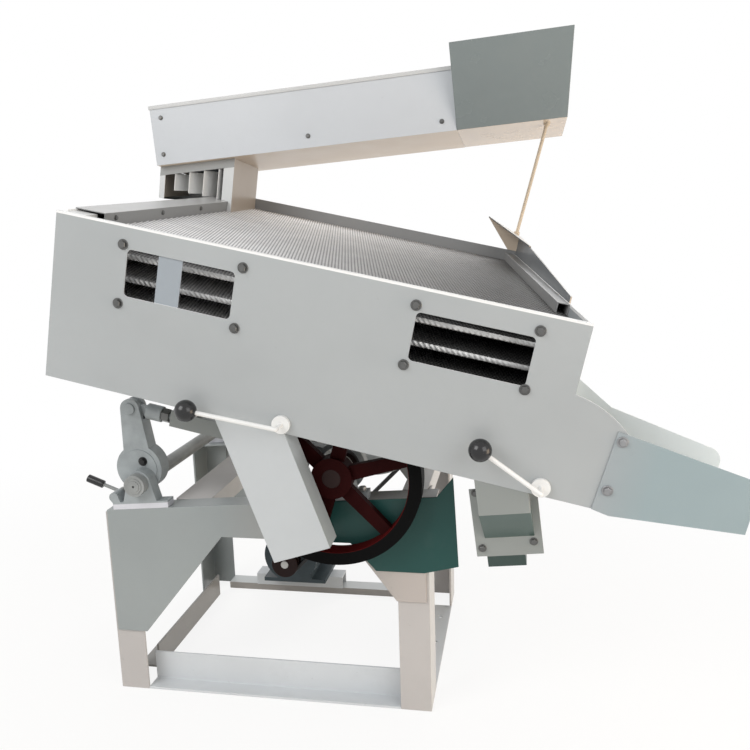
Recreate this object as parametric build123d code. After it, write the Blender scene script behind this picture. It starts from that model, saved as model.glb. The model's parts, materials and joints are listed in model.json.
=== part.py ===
from build123d import *
import os
from math import cos, radians, sin, tan

# Gravity paddy separator on an angle-steel stand.
# Millimetres, +Z up, +X to the low side of the table, +Y to the feed side.
# The origin is the middle of the stand's footprint on the floor.

# Stand
STAND_W = 814.0
STAND_D = 640.0
LEG_W = 76.0
LEG_DEPTH = 100.0
STEEL_T = 6.0
RAIL_FLANGE = 46.0
RAIL_WEB = 80.0
SIDE_RAIL_FLANGE = 54.0
SIDE_RAIL_WEB = 68.0
REAR_RAIL_H = 22.0
ANCHOR_R = 7.0
ANCHOR_COUNT = 3
BEARER_T = 6.0
BEARER_INSET = 7.0
LEDGE_W = 54.0
LEDGE_OVERHANG = 21.0
LEDGE_MID_Z = 519.0
LEDGE_RISE_DEG = 4.3
ARCH_TOP_Z = 430.0
ARCH_LEFT_X = -102.0
ARCH_RIGHT_X = 222.0
GUSSET_W = 80.0
GUSSET_FOOT_Z = 165.0
GUSSET_RIGHT_W = 71.0
GUSSET_RIGHT_Z = 287.0
APRON_T = 3.0
APRON_LEFT_X = 150.0
APRON_RIGHT_X = 477.0
APRON_EAR_Z = 600.0
APRON_BOTTOM_Z = 363.0
APRON_STEP = 20.0
TIE_X = (-194.0, 370.0)
TIE_W = (92.0, 60.0)
TIE_H = 50.0

# Table: a tilted box, its frame set by the upper left corner of the front panel
TABLE_CORNER = (-354.6, -483.9, 1220.1)
TABLE_SIDE_TILT = 12.82
TABLE_END_TILT = 3.29
PANEL_L = 1140.0
PANEL_H = 372.0
PANEL_NOSE_L = 1262.0
PANEL_FOOT_L = 1227.0
PANEL_NOTCH_H = 145.0
PANEL_NOSE_H = 205.0
PANEL_NOSE_SAG = 12.0
PANEL_LIP = 12.0
SHEET_T = 3.0
TABLE_D = 985.0
TABLE_H = 200.0
WALL_X = 17.0
LEFT_TOP = 5.0
REAR_TOP = 12.0
RIGHT_TOP = 2.0
RIGHT_FRONT_X = 1130.0
RIGHT_REAR_X = 958.0
WINDOW_W = 242.0
WINDOW_H = 102.0
WINDOW_R = 10.0
WINDOW_X = (290.0, 919.0)
WINDOW_Z = -101.0
WINDOW_BAR_X = 266.0
WINDOW_BAR_W = 54.0
WINDOW_BAR_LAP = 12.0
TRAY_COUNT = 4
TRAY_T = 2.0
TRAY_TOP_Z = -22.0
TRAY_PITCH = 51.0
TRAY_LIP = 12.0
TRAY_GAP = 0.5
SPACER_W = 16.0
STRIP_W = 71.0
STRIP_T = 3.0
STRIP_START_Y = 45.0
STRIP_END_Y = 842.0
CHANNEL_W = 27.0
CHANNEL_T = 2.5
CHANNEL_START_Y = 172.0
GUARD_START_Y = 197.0
GUARD_FOLD_Y = 775.0
GUARD_SKIRT = 30.0
GUARD_FRONT_TOP = 16.0
GUARD_FOLD_TOP = 50.0
GUARD_REAR_TOP = 57.0
GUARD_FLANGE_W = 6.0
GUARD_FLANGE_REAR_W = 108.0
GUARD_FLANGE_RISE = 41.0
GUARD_END_W = 30.0

# Discharge side
TROUGH_D = 59.0
CHUTE_T = 2.0
CHUTE_X = 404.0
CHUTE_W = 140.0
CHUTE_L = 363.0
CHUTE_LEAN_DEG = 31.0
OUTLET_X = 984.0
OUTLET_W = 108.0
OUTLET_FOLD = 81.0
OUTLET_L = 162.0
OUTLET_LEAN_DEG = 19.0
OUTLET_FLANGE_LEFT = 22.0
OUTLET_FLANGE_RIGHT = 16.0
OUTLET_FLANGE_T = 3.0
OUTLET_FLANGE_TOP = 45.0
OUTLET_FLANGE_L = 205.0
SPOUT_W = 84.0
SPOUT_D = 40.0
SPOUT_H = 26.0
END_CHUTE_D = 150.0
END_CHUTE_TIP_X = 1525.0
END_CHUTE_TOP_Z = -237.0
END_CHUTE_TIP_Z = -348.0
END_CHUTE_FOOT_X = 1263.0
END_CHUTE_FOOT_DROP = 6.0
END_CHUTE_LAP = 24.0
END_CHUTE_SHOULDER_Z = -128.0
END_CHUTE_SEAM_X = 1236.0
END_CHUTE_REAR_X = 1483.0
END_CHUTE_REAR_R = 30.0

# Splitter gates and their ball levers
GATE_X = (558.0, 1119.0)
GATE_Z = -352.0
GATE_H = 96.0
GATE_T = 3.0
GATE_SIDE_GAP = 1.0
SPINDLE_R = 7.0
HUB_R = 20.0
HUB_T = 9.0
HUB_GAP = 0.3
LEVER_R = 5.0
LEVER_STANDOFF = 40.0
LEVER_LEFT_L = 203.0
LEVER_RIGHT_L = 150.0
LEVER_DEG = (182.0, 156.0)
BALL_R = 24.0

# Shaking linkage
ROCKER_INSET = 99.0
ROCKER_Z = 561.0
ARM_LEAN = 26.0
ARM_RISE = 179.0
LINK_Y = 268.0
ARM_T = 42.0
ARM_HUB_R = 60.0
ARM_HUB_OFFSET = (-14.0, 27.0)
ARM_WEB_R = 38.0
ARM_TOP_R = 25.0
ARM_CAP_R = 48.0
ARM_CAP_T = 2.0
FORK_GAP = 18.0
FORK_FIT = 0.3
FORK_DEPTH = 28.0
ROCKER_SHAFT_R = 18.0
ROCKER_CAP_R = 27.0
ROCKER_CAP_L = 24.0
SHAFT_END = 4.0
PIN_R = 9.0
PIN_HEAD_R = 14.0
PIN_HEAD_T = 4.0
PIN_FIT = 0.3
EYE_R = 21.0
NECK_H = 24.0
BARREL_R = 20.0
BARREL_START = 40.0
BARREL_END = 80.0
LOCK_NUT_R = 18.0
LOCK_NUT_T = 20.0
ROD_R = 10.0
ROD_FIT = 0.2
BEAM_START = 106.0
BEAM_STOP_SHORT = 85.0
BEAM_H = 40.0
BEAM_W = 34.0
BEAM_T = 5.0
POST_W = 30.0
POST_AT = (160.0, 410.0)
PILLOW_T = 34.0
PILLOW_BASE_L = 147.0
PILLOW_BASE_H = 18.0
PILLOW_SHOULDER_R = 8.0
PILLOW_SHOULDER_AT = 36.0
PILLOW_WALL = 13.0
PILLOW_BOLT_AT = 58.0
BOLT_R = 10.0
BOLT_H = 9.0
RUNNING_FIT = 0.05
SEAT_FIT = 0.05

# Drive
DRIVE_AXIS = (194.0, 604.0)
SHAFT_R = 22.0
WHEEL_R = 208.0
WHEEL_RIM = 30.0
WHEEL_W = 46.0
WHEEL_GAP = 3.0
WHEEL_HUB_R = 48.0
SPOKE_COUNT = 6
SPOKE_W = 36.0
SPOKE_END_W = 28.0
SPOKE_T = 20.0
SPOKE_START_DEG = 14.0
ECCENTRIC_R = 38.0
ECCENTRIC_T = 34.0
THROW = 5.0
OPEN_PIVOT_GAP = 10.5
STRAP_WALL = 13.0
STRAP_T = 30.0
DRIVEN_R = 150.0
DRIVEN_RIM = 24.0
DRIVEN_WEB_T = 12.0
DRIVEN_HUB_R = 44.0
PULLEY_W = 46.0
BELT_COUNT = 2
BELT_Y = 140.0
BELT_W = 13.0
BELT_T = 9.0
BELT_PITCH = 19.0
BELT_FIT = 0.4
MOTOR_AXIS = (-90.0, 160.0)
MOTOR_R = 78.0
MOTOR_Y = 182.0
MOTOR_L = 210.0
SHIELD_R = 84.0
SHIELD_T = 18.0
MOTOR_SHAFT_R = 12.0
MOTOR_SHAFT_SEAT = 50.0
MOTOR_PULLEY_R = 40.0
FIN_COUNT = 24
FIN_H = 9.0
FIN_T = 4.0
COWL_R = 86.0
COWL_L = 44.0
FOOT_DROP = 100.0
FOOT_T = 12.0
FOOT_W = 200.0
FOOT_L = 150.0
FOOT_NECK_W = 110.0
SLIDE_L = 286.0
SLIDE_W = 58.0

# Clamp handles on the rocker bearings
CLAMP_OFFSET = (-70.0, -39.0)
CLAMP_LUG_R = 12.0
CLAMP_PIN_R = 5.0
CLAMP_HUB_R = 11.0
CLAMP_HUB_T = 18.0
CLAMP_HUB_GAP = 0.3
CLAMP_ROD_R = 4.5
CLAMP_ROD_L = 52.0
CLAMP_GRIP_R = 10.0
CLAMP_GRIP_L = 44.0
CLAMP_DEG = 159.0

# Feed side
FEED_CORNER = (-464.0, 250.0, 1363.0)
FEED_RISE_DEG = 3.64
FEED_L = 903.0
FEED_D = 300.0
FEED_H = 170.0
FEED_DROP = 21.0
FEED_T = 2.0
LID_SKIRT = 9.0
LID_GAP = 0.5
HOPPER_L = 301.0
HOPPER_H = 220.0
HOPPER_FLARE_X = 26.0
HOPPER_FLARE_FRONT = 62.0
HOPPER_FLARE_REAR = 40.0
HOPPER_MOUTH_H = 140.0
HOPPER_MOUTH_INSET = 30.0
BOX_INSET = 25.0
BOX_L = 240.0
BOX_D = 220.0
BOX_H = 200.0
BOX_LEAN_DEG = 12.6
BOX_POST = 18.0
BOX_RIGHT_POST = 34.0
BOX_RAIL = 27.0
BOX_SEAT_GAP = 0.2
VANE_COUNT = 4
VANE_FIRST = 48.0
VANE_PITCH = 47.0
VANE_T = 2.0
VANE_BOW = 14.0
STAY_R = 5.0
STAY_COLLAR_R = 9.0
STAY_COLLAR_L = 10.0
STAY_FOOT_Y = 955.0
STAY_FOOT_INSET = 12.0
STAY_TOP = (1152.0, 50.0)

HALF_W = STAND_W / 2
HALF_D = STAND_D / 2
ROCKER_AXIS = (ROCKER_INSET - HALF_W, ROCKER_Z)
PIVOT = (ROCKER_AXIS[0] - ARM_LEAN, ROCKER_AXIS[1] + ARM_RISE)
LEVER_LENGTHS = (LEVER_LEFT_L, LEVER_RIGHT_L)
WHEEL_BACK_Y = -HALF_D - BEARER_T - APRON_T - WHEEL_GAP
WHEEL_FRONT_Y = WHEEL_BACK_Y - WHEEL_W
ARM_OUTER_Y = LINK_Y + ARM_T / 2
PILLOW_OUTER_Y = HALF_D + BEARER_T
PILLOW_INNER_Y = PILLOW_OUTER_Y - PILLOW_T
TROUGH_BACK = SHEET_T + TROUGH_D
TRAY_FRONT = TROUGH_BACK + SHEET_T + TRAY_GAP
FLOOR_TOP = SHEET_T - TABLE_H
REACH = 4 * PANEL_L
LEDGE_SLOPE = tan(radians(LEDGE_RISE_DEG))
SIDE = radians(TABLE_SIDE_TILT)
END = radians(TABLE_END_TILT)
RISE = radians(FEED_RISE_DEG)

# Table frame: x down the slope, y to the feed side, z square to the trays.
# The linkage shares the slope but keeps its pins level along Y.
ALONG = Vector(cos(SIDE), 0, -sin(SIDE))
SQUARE = Vector(sin(SIDE) * cos(END), -sin(END), cos(SIDE) * cos(END))
TABLE = Plane(origin=TABLE_CORNER, x_dir=ALONG, z_dir=SQUARE)
LINK = Plane(origin=(PIVOT[0], 0, PIVOT[1]), x_dir=ALONG, z_dir=(sin(SIDE), 0, cos(SIDE)))
FEED = Plane(origin=FEED_CORNER, x_dir=(cos(RISE), 0, sin(RISE)), z_dir=(-sin(RISE), 0, cos(RISE)))

os.makedirs("parts", exist_ok=True)


def save(name, *solids):
    """Write one node, as a single solid or as a group of separate ones."""
    shape = solids[0] if len(solids) == 1 else Compound(children=list(solids))
    export_step(shape, f"parts/{name}.step")


def block(x0, x1, y0, y1, z0, z1):
    """Box between two corners, given in any order."""
    centre = ((x0 + x1) / 2, (y0 + y1) / 2, (z0 + z1) / 2)
    return Pos(*centre) * Box(abs(x1 - x0), abs(y1 - y0), abs(z1 - z0))


def plate_xz(face, y0, y1):
    """Plate from a face drawn with x and z, between y0 and y1."""
    plane = Plane(origin=(0, y0, 0), x_dir=(1, 0, 0), z_dir=(0, -1, 0))
    return extrude(plane * face, abs(y1 - y0), dir=(0, 1 if y1 > y0 else -1, 0))


def slab_xz(points, y0, y1):
    """Plate with a straight-sided outline in x and z."""
    return plate_xz(make_face(Polyline(*points, close=True)), y0, y1)


def slab_xy(points, z0, z1):
    """Plate with a straight-sided outline in x and y."""
    return extrude(Pos(0, 0, z0) * make_face(Polyline(*points, close=True)), z1 - z0)


def slab_yz(points, x0, x1):
    """Plate with a straight-sided outline in y and z."""
    plane = Plane(origin=(x0, 0, 0), x_dir=(0, 1, 0), z_dir=(1, 0, 0))
    return extrude(plane * make_face(Polyline(*points, close=True)), x1 - x0)


def rod(start, end, radius):
    """Round bar between two points."""
    run = Vector(*end) - Vector(*start)
    seat = Plane(origin=start, z_dir=run)
    return seat * Cylinder(radius, run.length, align=(Align.CENTER, Align.CENTER, Align.MIN))


def bar_y(centre, radius, y0, y1):
    """Round bar along Y about a centre given as x and z."""
    return rod((centre[0], y0, centre[1]), (centre[0], y1, centre[1]), radius)


def hull_y(circles, y0, y1):
    """Plate whose outline wraps circles given as x, z and radius."""
    edges = [edge for x, z, r in circles for edge in (Pos(x, z) * Circle(r)).edges()]
    return plate_xz(make_hull(edges), y0, y1)


def on_table(shape):
    return TABLE.location * shape


def on_link(shape):
    return LINK.location * shape


def on_feed(shape):
    return FEED.location * shape


def polar(centre, radius, angle_deg):
    """Point at an angle above +X in the XZ plane."""
    angle = radians(angle_deg)
    return (centre[0] + radius * cos(angle), centre[1] + radius * sin(angle))


def ledge_top(x):
    """Height of the bearing ledges, which rise to the right."""
    return LEDGE_MID_Z + x * LEDGE_SLOPE


def sloped(x0, x1, low, high, y0, y1):
    """Slab that follows the ledge, between two heights above its top."""
    outline = [
        (x0, ledge_top(x0) + low),
        (x1, ledge_top(x1) + low),
        (x1, ledge_top(x1) + high),
        (x0, ledge_top(x0) + high),
    ]
    return slab_xz(outline, y0, y1)


def right_wall_x(y):
    """Inner face of the table's right wall, which closes in towards the feed side."""
    return RIGHT_FRONT_X + (RIGHT_REAR_X - RIGHT_FRONT_X) * (y - SHEET_T) / (TABLE_D - SHEET_T)


def along_right_wall(inner, outer, y0, y1, z0, z1):
    """Strip beside the right wall, offset in x from its inner face."""
    outline = [
        (right_wall_x(y0) + inner, y0),
        (right_wall_x(y0) + outer, y0),
        (right_wall_x(y1) + outer, y1),
        (right_wall_x(y1) + inner, y1),
    ]
    return slab_xy(outline, z0, z1)


# Stand: legs and floor rails
def leg(side, end):
    """Angle-steel leg in one corner, cut to the slope of the ledge it carries."""
    x0 = side * HALF_W
    y0 = end * HALF_D
    outline = [
        (x0, y0),
        (x0 - side * LEG_W, y0),
        (x0 - side * LEG_W, y0 - end * STEEL_T),
        (x0 - side * STEEL_T, y0 - end * STEEL_T),
        (x0 - side * STEEL_T, y0 - end * LEG_DEPTH),
        (x0, y0 - end * LEG_DEPTH),
    ]
    over = sloped(-STAND_W, STAND_W, -BEARER_T, STAND_W, -STAND_D, STAND_D)
    return slab_xy(outline, 0, LEDGE_MID_Z + STAND_W / 2) - over


def floor_rail(end):
    """Front rail, an angle between two legs with its flange on the floor."""
    half = HALF_W - LEG_W
    web = end * (HALF_D - RAIL_FLANGE)
    flange = block(-half, half, end * HALF_D, web, 0, STEEL_T)
    return flange + block(-half, half, web, web - end * STEEL_T, 0, RAIL_WEB)


def motor_rail(end):
    """Low rear rail, an angle with its flange on top to carry the motor slide."""
    half = HALF_W - LEG_W
    web = end * (HALF_D - RAIL_FLANGE)
    flange = block(-half, half, end * HALF_D, web, REAR_RAIL_H - STEEL_T, REAR_RAIL_H)
    return flange + block(-half, half, web, web - end * STEEL_T, 0, REAR_RAIL_H)


def side_rail(side):
    """Angle along Y between two legs, with anchor holes in its floor flange."""
    half = HALF_D - LEG_DEPTH
    web = side * (HALF_W - SIDE_RAIL_FLANGE)
    rail = block(side * HALF_W, web, -half, half, 0, STEEL_T)
    rail += block(web, web - side * STEEL_T, -half, half, 0, SIDE_RAIL_WEB)
    for step in range(ANCHOR_COUNT):
        y = -half + 2 * half * (step + 0.5) / ANCHOR_COUNT
        rail -= Pos(side * HALF_W - side * SIDE_RAIL_FLANGE / 2, y, 0) * Cylinder(ANCHOR_R, 4 * STEEL_T)
    return rail


save("leg_front_left", leg(-1, -1))
save("leg_front_right", leg(1, -1))
save("leg_rear_left", leg(-1, 1))
save("leg_rear_right", leg(1, 1))
save("rail_front", floor_rail(-1))
save("rail_rear", motor_rail(1))
save("rail_left", side_rail(-1))
save("rail_right", side_rail(1))


# Stand: arched bearers, apron and tie beams
def bearer(end):
    """Arched end plate with gussets on the legs and a ledge for the bearings."""
    left = BEARER_INSET - HALF_W
    right = HALF_W - BEARER_INSET
    outline = [
        (left, GUSSET_FOOT_Z),
        (left + GUSSET_W, GUSSET_FOOT_Z),
        (ARCH_LEFT_X, ARCH_TOP_Z),
        (ARCH_RIGHT_X, ARCH_TOP_Z),
        (right - GUSSET_RIGHT_W, GUSSET_RIGHT_Z),
        (right, GUSSET_RIGHT_Z),
        (right, ledge_top(right)),
        (left, ledge_top(left)),
    ]
    plate = slab_xz(outline, end * HALF_D, end * (HALF_D + BEARER_T))
    tip = HALF_W + LEDGE_OVERHANG
    return plate + sloped(left, tip, -BEARER_T, 0, end * (HALF_D + BEARER_T), end * (HALF_D - LEDGE_W))


save("front_bearer", bearer(-1))
save("rear_bearer", bearer(1))

APRON_TIP_X = HALF_W + LEDGE_OVERHANG
apron_outline = [
    (APRON_LEFT_X, ARCH_TOP_Z),
    (ARCH_RIGHT_X, ARCH_TOP_Z),
    (ARCH_RIGHT_X + 3 * APRON_STEP, APRON_BOTTOM_Z),
    (APRON_RIGHT_X - 4 * APRON_STEP, APRON_BOTTOM_Z),
    (APRON_RIGHT_X, APRON_BOTTOM_Z + APRON_STEP),
    (APRON_RIGHT_X - APRON_STEP / 2, APRON_EAR_Z),
    (APRON_TIP_X, ledge_top(APRON_TIP_X)),
    (APRON_LEFT_X, ledge_top(APRON_LEFT_X)),
]
save("front_apron", slab_xz(apron_outline, -HALF_D - BEARER_T, -HALF_D - BEARER_T - APRON_T))


def tie_beam(x, width):
    """Upturned channel between the two ledges."""
    half = HALF_D - LEDGE_W
    top = ledge_top(x)
    beam = block(x - width / 2, x + width / 2, -half, half, top - TIE_H, top)
    inside = width / 2 - STEEL_T
    return beam - block(x - inside, x + inside, -half, half, top - 2 * TIE_H, top - STEEL_T)


save("tie_beams", *[tie_beam(x, width) for x, width in zip(TIE_X, TIE_W)])


# Bearings: pillow blocks on the ledges
def pillow(axis, end, shaft_r):
    """Pillow block with a foot cut to the slope of the ledge."""
    x, z = axis
    outer = end * PILLOW_OUTER_Y
    inner = end * PILLOW_INNER_Y
    foot = sloped(x - PILLOW_BASE_L / 2, x + PILLOW_BASE_L / 2, 0, PILLOW_BASE_H, outer, inner)
    circles = [(x, z, shaft_r + PILLOW_WALL)]
    for shoulder in (x - PILLOW_SHOULDER_AT, x + PILLOW_SHOULDER_AT):
        circles.append((shoulder, ledge_top(shoulder) + PILLOW_BASE_H, PILLOW_SHOULDER_R))
    return foot + hull_y(circles, outer, inner) - bar_y(axis, shaft_r + RUNNING_FIT, outer, inner)


CLAMP_AXIS = (ROCKER_AXIS[0] + CLAMP_OFFSET[0], ROCKER_AXIS[1] + CLAMP_OFFSET[1])
CLAMP_BASE_Y = PILLOW_INNER_Y - CLAMP_HUB_GAP


def rocker_pillow(end):
    """Rocker bearing with a lug and pin for the clamp handle."""
    x, z = CLAMP_AXIS
    root = (x + CLAMP_LUG_R, ledge_top(x + CLAMP_LUG_R) + PILLOW_BASE_H / 2, PILLOW_SHOULDER_R)
    lug = hull_y([(x, z, CLAMP_LUG_R), root], end * PILLOW_OUTER_Y, end * PILLOW_INNER_Y)
    pin_end = CLAMP_BASE_Y - CLAMP_HUB_T
    pin = bar_y(CLAMP_AXIS, CLAMP_PIN_R, end * PILLOW_OUTER_Y, end * pin_end)
    return pillow(ROCKER_AXIS, end, ROCKER_SHAFT_R) + lug + pin


def pillow_bolts(axis, end):
    """Two hexagon heads on the foot of a pillow block."""
    heads = []
    for x in (axis[0] - PILLOW_BOLT_AT, axis[0] + PILLOW_BOLT_AT):
        origin = (x, end * (PILLOW_OUTER_Y - PILLOW_T / 2), ledge_top(x) + PILLOW_BASE_H)
        seat = Plane(origin=origin, z_dir=(-LEDGE_SLOPE, 0, 1))
        heads.append(extrude(seat * RegularPolygon(BOLT_R, 6), BOLT_H))
    return heads


save("shaft_blocks", *[pillow(DRIVE_AXIS, end, SHAFT_R) for end in (-1, 1)])
save("rocker_blocks", *[rocker_pillow(end) for end in (-1, 1)])
save("block_bolts", *[head for end in (-1, 1) for head in pillow_bolts(DRIVE_AXIS, end)])


# Clamp handles
def clamp_parts(end):
    """Hub and rod, and the grip on the rod's end."""
    hub = bar_y(CLAMP_AXIS, CLAMP_HUB_R, end * CLAMP_BASE_Y, end * (CLAMP_BASE_Y - CLAMP_HUB_T))
    y = end * (CLAMP_BASE_Y - CLAMP_HUB_T / 2)
    points = [polar(CLAMP_AXIS, reach, CLAMP_DEG) for reach in (0, CLAMP_ROD_L, CLAMP_ROD_L + CLAMP_GRIP_L)]
    start, join, tip = [(x, y, z) for x, z in points]
    bore = bar_y(CLAMP_AXIS, CLAMP_PIN_R + RUNNING_FIT, -STAND_D, STAND_D)
    return hub + rod(start, join, CLAMP_ROD_R) - bore, rod(join, tip, CLAMP_GRIP_R)


for name, end in (("front", -1), ("rear", 1)):
    handle, grip = clamp_parts(end)
    save(f"clamp_handle_{name}", handle)
    save(f"clamp_grip_{name}", grip)


# Rocker: cross tube, forked arms and their pins
def rocker_arm(end):
    """Cast arm with a round hub below and a fork above."""
    hub = (ROCKER_AXIS[0] + ARM_HUB_OFFSET[0], ROCKER_AXIS[1] + ARM_HUB_OFFSET[1])
    outer = end * ARM_OUTER_Y
    inner = end * (ARM_OUTER_Y - ARM_T)
    arm = bar_y(hub, ARM_HUB_R, outer, inner)
    arm += hull_y([(*hub, ARM_WEB_R), (*PIVOT, ARM_TOP_R)], outer, inner)
    arm += bar_y(hub, ARM_CAP_R, outer, outer + end * ARM_CAP_T)
    gap = FORK_GAP / 2
    floor_z = PIVOT[1] - FORK_DEPTH
    arm -= block(-STAND_W, STAND_W, end * LINK_Y - gap, end * LINK_Y + gap, floor_z, floor_z + STAND_W)
    arm -= bar_y(PIVOT, PIN_R + SEAT_FIT, -STAND_D, STAND_D)
    return arm - bar_y(ROCKER_AXIS, ROCKER_SHAFT_R + SEAT_FIT, -STAND_D, STAND_D)


def pivot_pin(end):
    """Headed pin through the fork."""
    outer = end * ARM_OUTER_Y
    pin = bar_y(PIVOT, PIN_R, outer, end * (ARM_OUTER_Y - ARM_T))
    return pin + bar_y(PIVOT, PIN_HEAD_R, outer, outer + end * PIN_HEAD_T)


cap_y = (PILLOW_OUTER_Y + HUB_GAP, PILLOW_OUTER_Y + ROCKER_CAP_L)
rocker_shaft = bar_y(ROCKER_AXIS, ROCKER_SHAFT_R, -cap_y[1], cap_y[1])
rocker_shaft += bar_y(ROCKER_AXIS, ROCKER_CAP_R, -cap_y[1], -cap_y[0])
rocker_shaft += bar_y(ROCKER_AXIS, ROCKER_CAP_R, *cap_y)
save("rocker_shaft", rocker_shaft)
save("rocker_arm_front", rocker_arm(-1))
save("rocker_arm_rear", rocker_arm(1))
save("pivot_pins", pivot_pin(-1), pivot_pin(1))


# Drive: eccentric shaft, flywheel, pulleys, belts and motor
def eccentric(end):
    """Disc set off from the shaft by the throw."""
    centre = (DRIVE_AXIS[0] + THROW, DRIVE_AXIS[1])
    return bar_y(centre, ECCENTRIC_R, end * LINK_Y - ECCENTRIC_T / 2, end * LINK_Y + ECCENTRIC_T / 2)


shaft = bar_y(DRIVE_AXIS, SHAFT_R, WHEEL_FRONT_Y, PILLOW_OUTER_Y + SHAFT_END)
save("eccentric_shaft", shaft + eccentric(-1) + eccentric(1))


def spoke(angle_deg):
    """Tapered spoke from the hub to the rim."""
    reach = WHEEL_R - WHEEL_RIM / 2
    along = Vector(*polar((0, 0), 1, angle_deg))
    across = Vector(-along.Y, along.X)
    centre = Vector(*DRIVE_AXIS)
    corners = [
        centre + across * (SPOKE_W / 2),
        centre - across * (SPOKE_W / 2),
        centre + along * reach - across * (SPOKE_END_W / 2),
        centre + along * reach + across * (SPOKE_END_W / 2),
    ]
    middle = (WHEEL_FRONT_Y + WHEEL_BACK_Y) / 2
    return slab_xz([(p.X, p.Y) for p in corners], middle - SPOKE_T / 2, middle + SPOKE_T / 2)


flywheel = bar_y(DRIVE_AXIS, WHEEL_R, WHEEL_FRONT_Y, WHEEL_BACK_Y)
flywheel -= bar_y(DRIVE_AXIS, WHEEL_R - WHEEL_RIM, WHEEL_FRONT_Y, WHEEL_BACK_Y)
flywheel += bar_y(DRIVE_AXIS, WHEEL_HUB_R, WHEEL_FRONT_Y, WHEEL_BACK_Y)
for step in range(SPOKE_COUNT):
    flywheel += spoke(SPOKE_START_DEG + 360 * step / SPOKE_COUNT)
save("flywheel", flywheel - bar_y(DRIVE_AXIS, SHAFT_R + SEAT_FIT, WHEEL_FRONT_Y, WHEEL_BACK_Y))

BELT_ROWS = [BELT_Y + (row - (BELT_COUNT - 1) / 2) * BELT_PITCH for row in range(BELT_COUNT)]
PULLEY_FRONT = BELT_Y - PULLEY_W / 2
PULLEY_BACK = BELT_Y + PULLEY_W / 2


def grooved(axis, radius):
    """Pulley blank with one groove for each belt."""
    blank = bar_y(axis, radius, PULLEY_FRONT, PULLEY_BACK)
    for y in BELT_ROWS:
        half = BELT_W / 2 + BELT_FIT
        ring = bar_y(axis, 2 * radius, y - half, y + half)
        blank -= ring - bar_y(axis, radius - BELT_T - BELT_FIT, y - half, y + half)
    return blank


driven = grooved(DRIVE_AXIS, DRIVEN_R)
for y0, y1 in ((PULLEY_FRONT, BELT_Y - DRIVEN_WEB_T / 2), (BELT_Y + DRIVEN_WEB_T / 2, PULLEY_BACK)):
    recess = bar_y(DRIVE_AXIS, DRIVEN_R - DRIVEN_RIM, y0, y1)
    driven -= recess - bar_y(DRIVE_AXIS, DRIVEN_HUB_R, y0, y1)
save("driven_pulley", driven - bar_y(DRIVE_AXIS, SHAFT_R + SEAT_FIT, PULLEY_FRONT, PULLEY_BACK))

motor_pulley = grooved(MOTOR_AXIS, MOTOR_PULLEY_R)
save("motor_pulley", motor_pulley - bar_y(MOTOR_AXIS, MOTOR_SHAFT_R + SEAT_FIT, PULLEY_FRONT, PULLEY_BACK))
save("motor_shaft", bar_y(MOTOR_AXIS, MOTOR_SHAFT_R, PULLEY_FRONT, MOTOR_Y + MOTOR_SHAFT_SEAT))


def belt(y):
    """Closed belt around both pulleys."""
    loops = []
    for depth in (0, BELT_T):
        circles = [(*DRIVE_AXIS, DRIVEN_R - depth), (*MOTOR_AXIS, MOTOR_PULLEY_R - depth)]
        loops.append(hull_y(circles, y - BELT_W / 2, y + BELT_W / 2))
    return loops[0] - loops[1]


save("v_belts", *[belt(y) for y in BELT_ROWS])


def motor():
    """Finned frame with end shields, a fan cowl and a foot."""
    back = MOTOR_Y + MOTOR_L
    x, z = MOTOR_AXIS
    body = bar_y(MOTOR_AXIS, MOTOR_R, MOTOR_Y, back)
    for step in range(FIN_COUNT):
        fin = block(0, MOTOR_R + FIN_H, MOTOR_Y + SHIELD_T, back - SHIELD_T, -FIN_T / 2, FIN_T / 2)
        body += Pos(x, 0, z) * Rot(0, 360 * (step + 0.5) / FIN_COUNT, 0) * fin
    for y0 in (MOTOR_Y, back - SHIELD_T):
        body += bar_y(MOTOR_AXIS, SHIELD_R, y0, y0 + SHIELD_T)
    body += bar_y(MOTOR_AXIS, COWL_R, back, back + COWL_L)
    foot_z = z - FOOT_DROP
    mid = MOTOR_Y + MOTOR_L / 2
    y0, y1 = mid - FOOT_L / 2, mid + FOOT_L / 2
    body += block(x - FOOT_NECK_W / 2, x + FOOT_NECK_W / 2, y0, y1, foot_z, z)
    body += block(x - FOOT_W / 2, x + FOOT_W / 2, y0, y1, foot_z, foot_z + FOOT_T)
    bore_end = MOTOR_Y + MOTOR_SHAFT_SEAT + SEAT_FIT
    return body - bar_y(MOTOR_AXIS, MOTOR_SHAFT_R + RUNNING_FIT, MOTOR_Y, bore_end)


save("motor_body", motor())
slide_x = (MOTOR_AXIS[0] - SLIDE_L / 2, MOTOR_AXIS[0] + SLIDE_L / 2)
slide_y = (HALF_D - SLIDE_W, HALF_D)
slide_top = MOTOR_AXIS[1] - FOOT_DROP
slide = block(*slide_x, *slide_y, REAR_RAIL_H, slide_top)
slide -= block(*slide_x, slide_y[0] + STEEL_T, slide_y[1] - STEEL_T, REAR_RAIL_H, slide_top - STEEL_T)
save("motor_slide", slide)


# Linkage under the table: rod ends, beams, straps and posts
def rod_end(end):
    """Eye on the rocker pin, its barrel and the threaded rod into the beam."""
    y = end * LINK_Y
    half = FORK_GAP / 2 - FORK_FIT
    piece = bar_y((0, 0), EYE_R, y - half, y + half)
    piece += block(0, BARREL_START, y - half, y + half, -NECK_H / 2, NECK_H / 2)
    piece += rod((BARREL_START, y, 0), (BARREL_END, y, 0), BARREL_R)
    piece += rod((BARREL_END, y, 0), (BEAM_START, y, 0), ROD_R)
    return on_link(piece - bar_y((0, 0), PIN_R + PIN_FIT, y - half, y + half))


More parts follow.
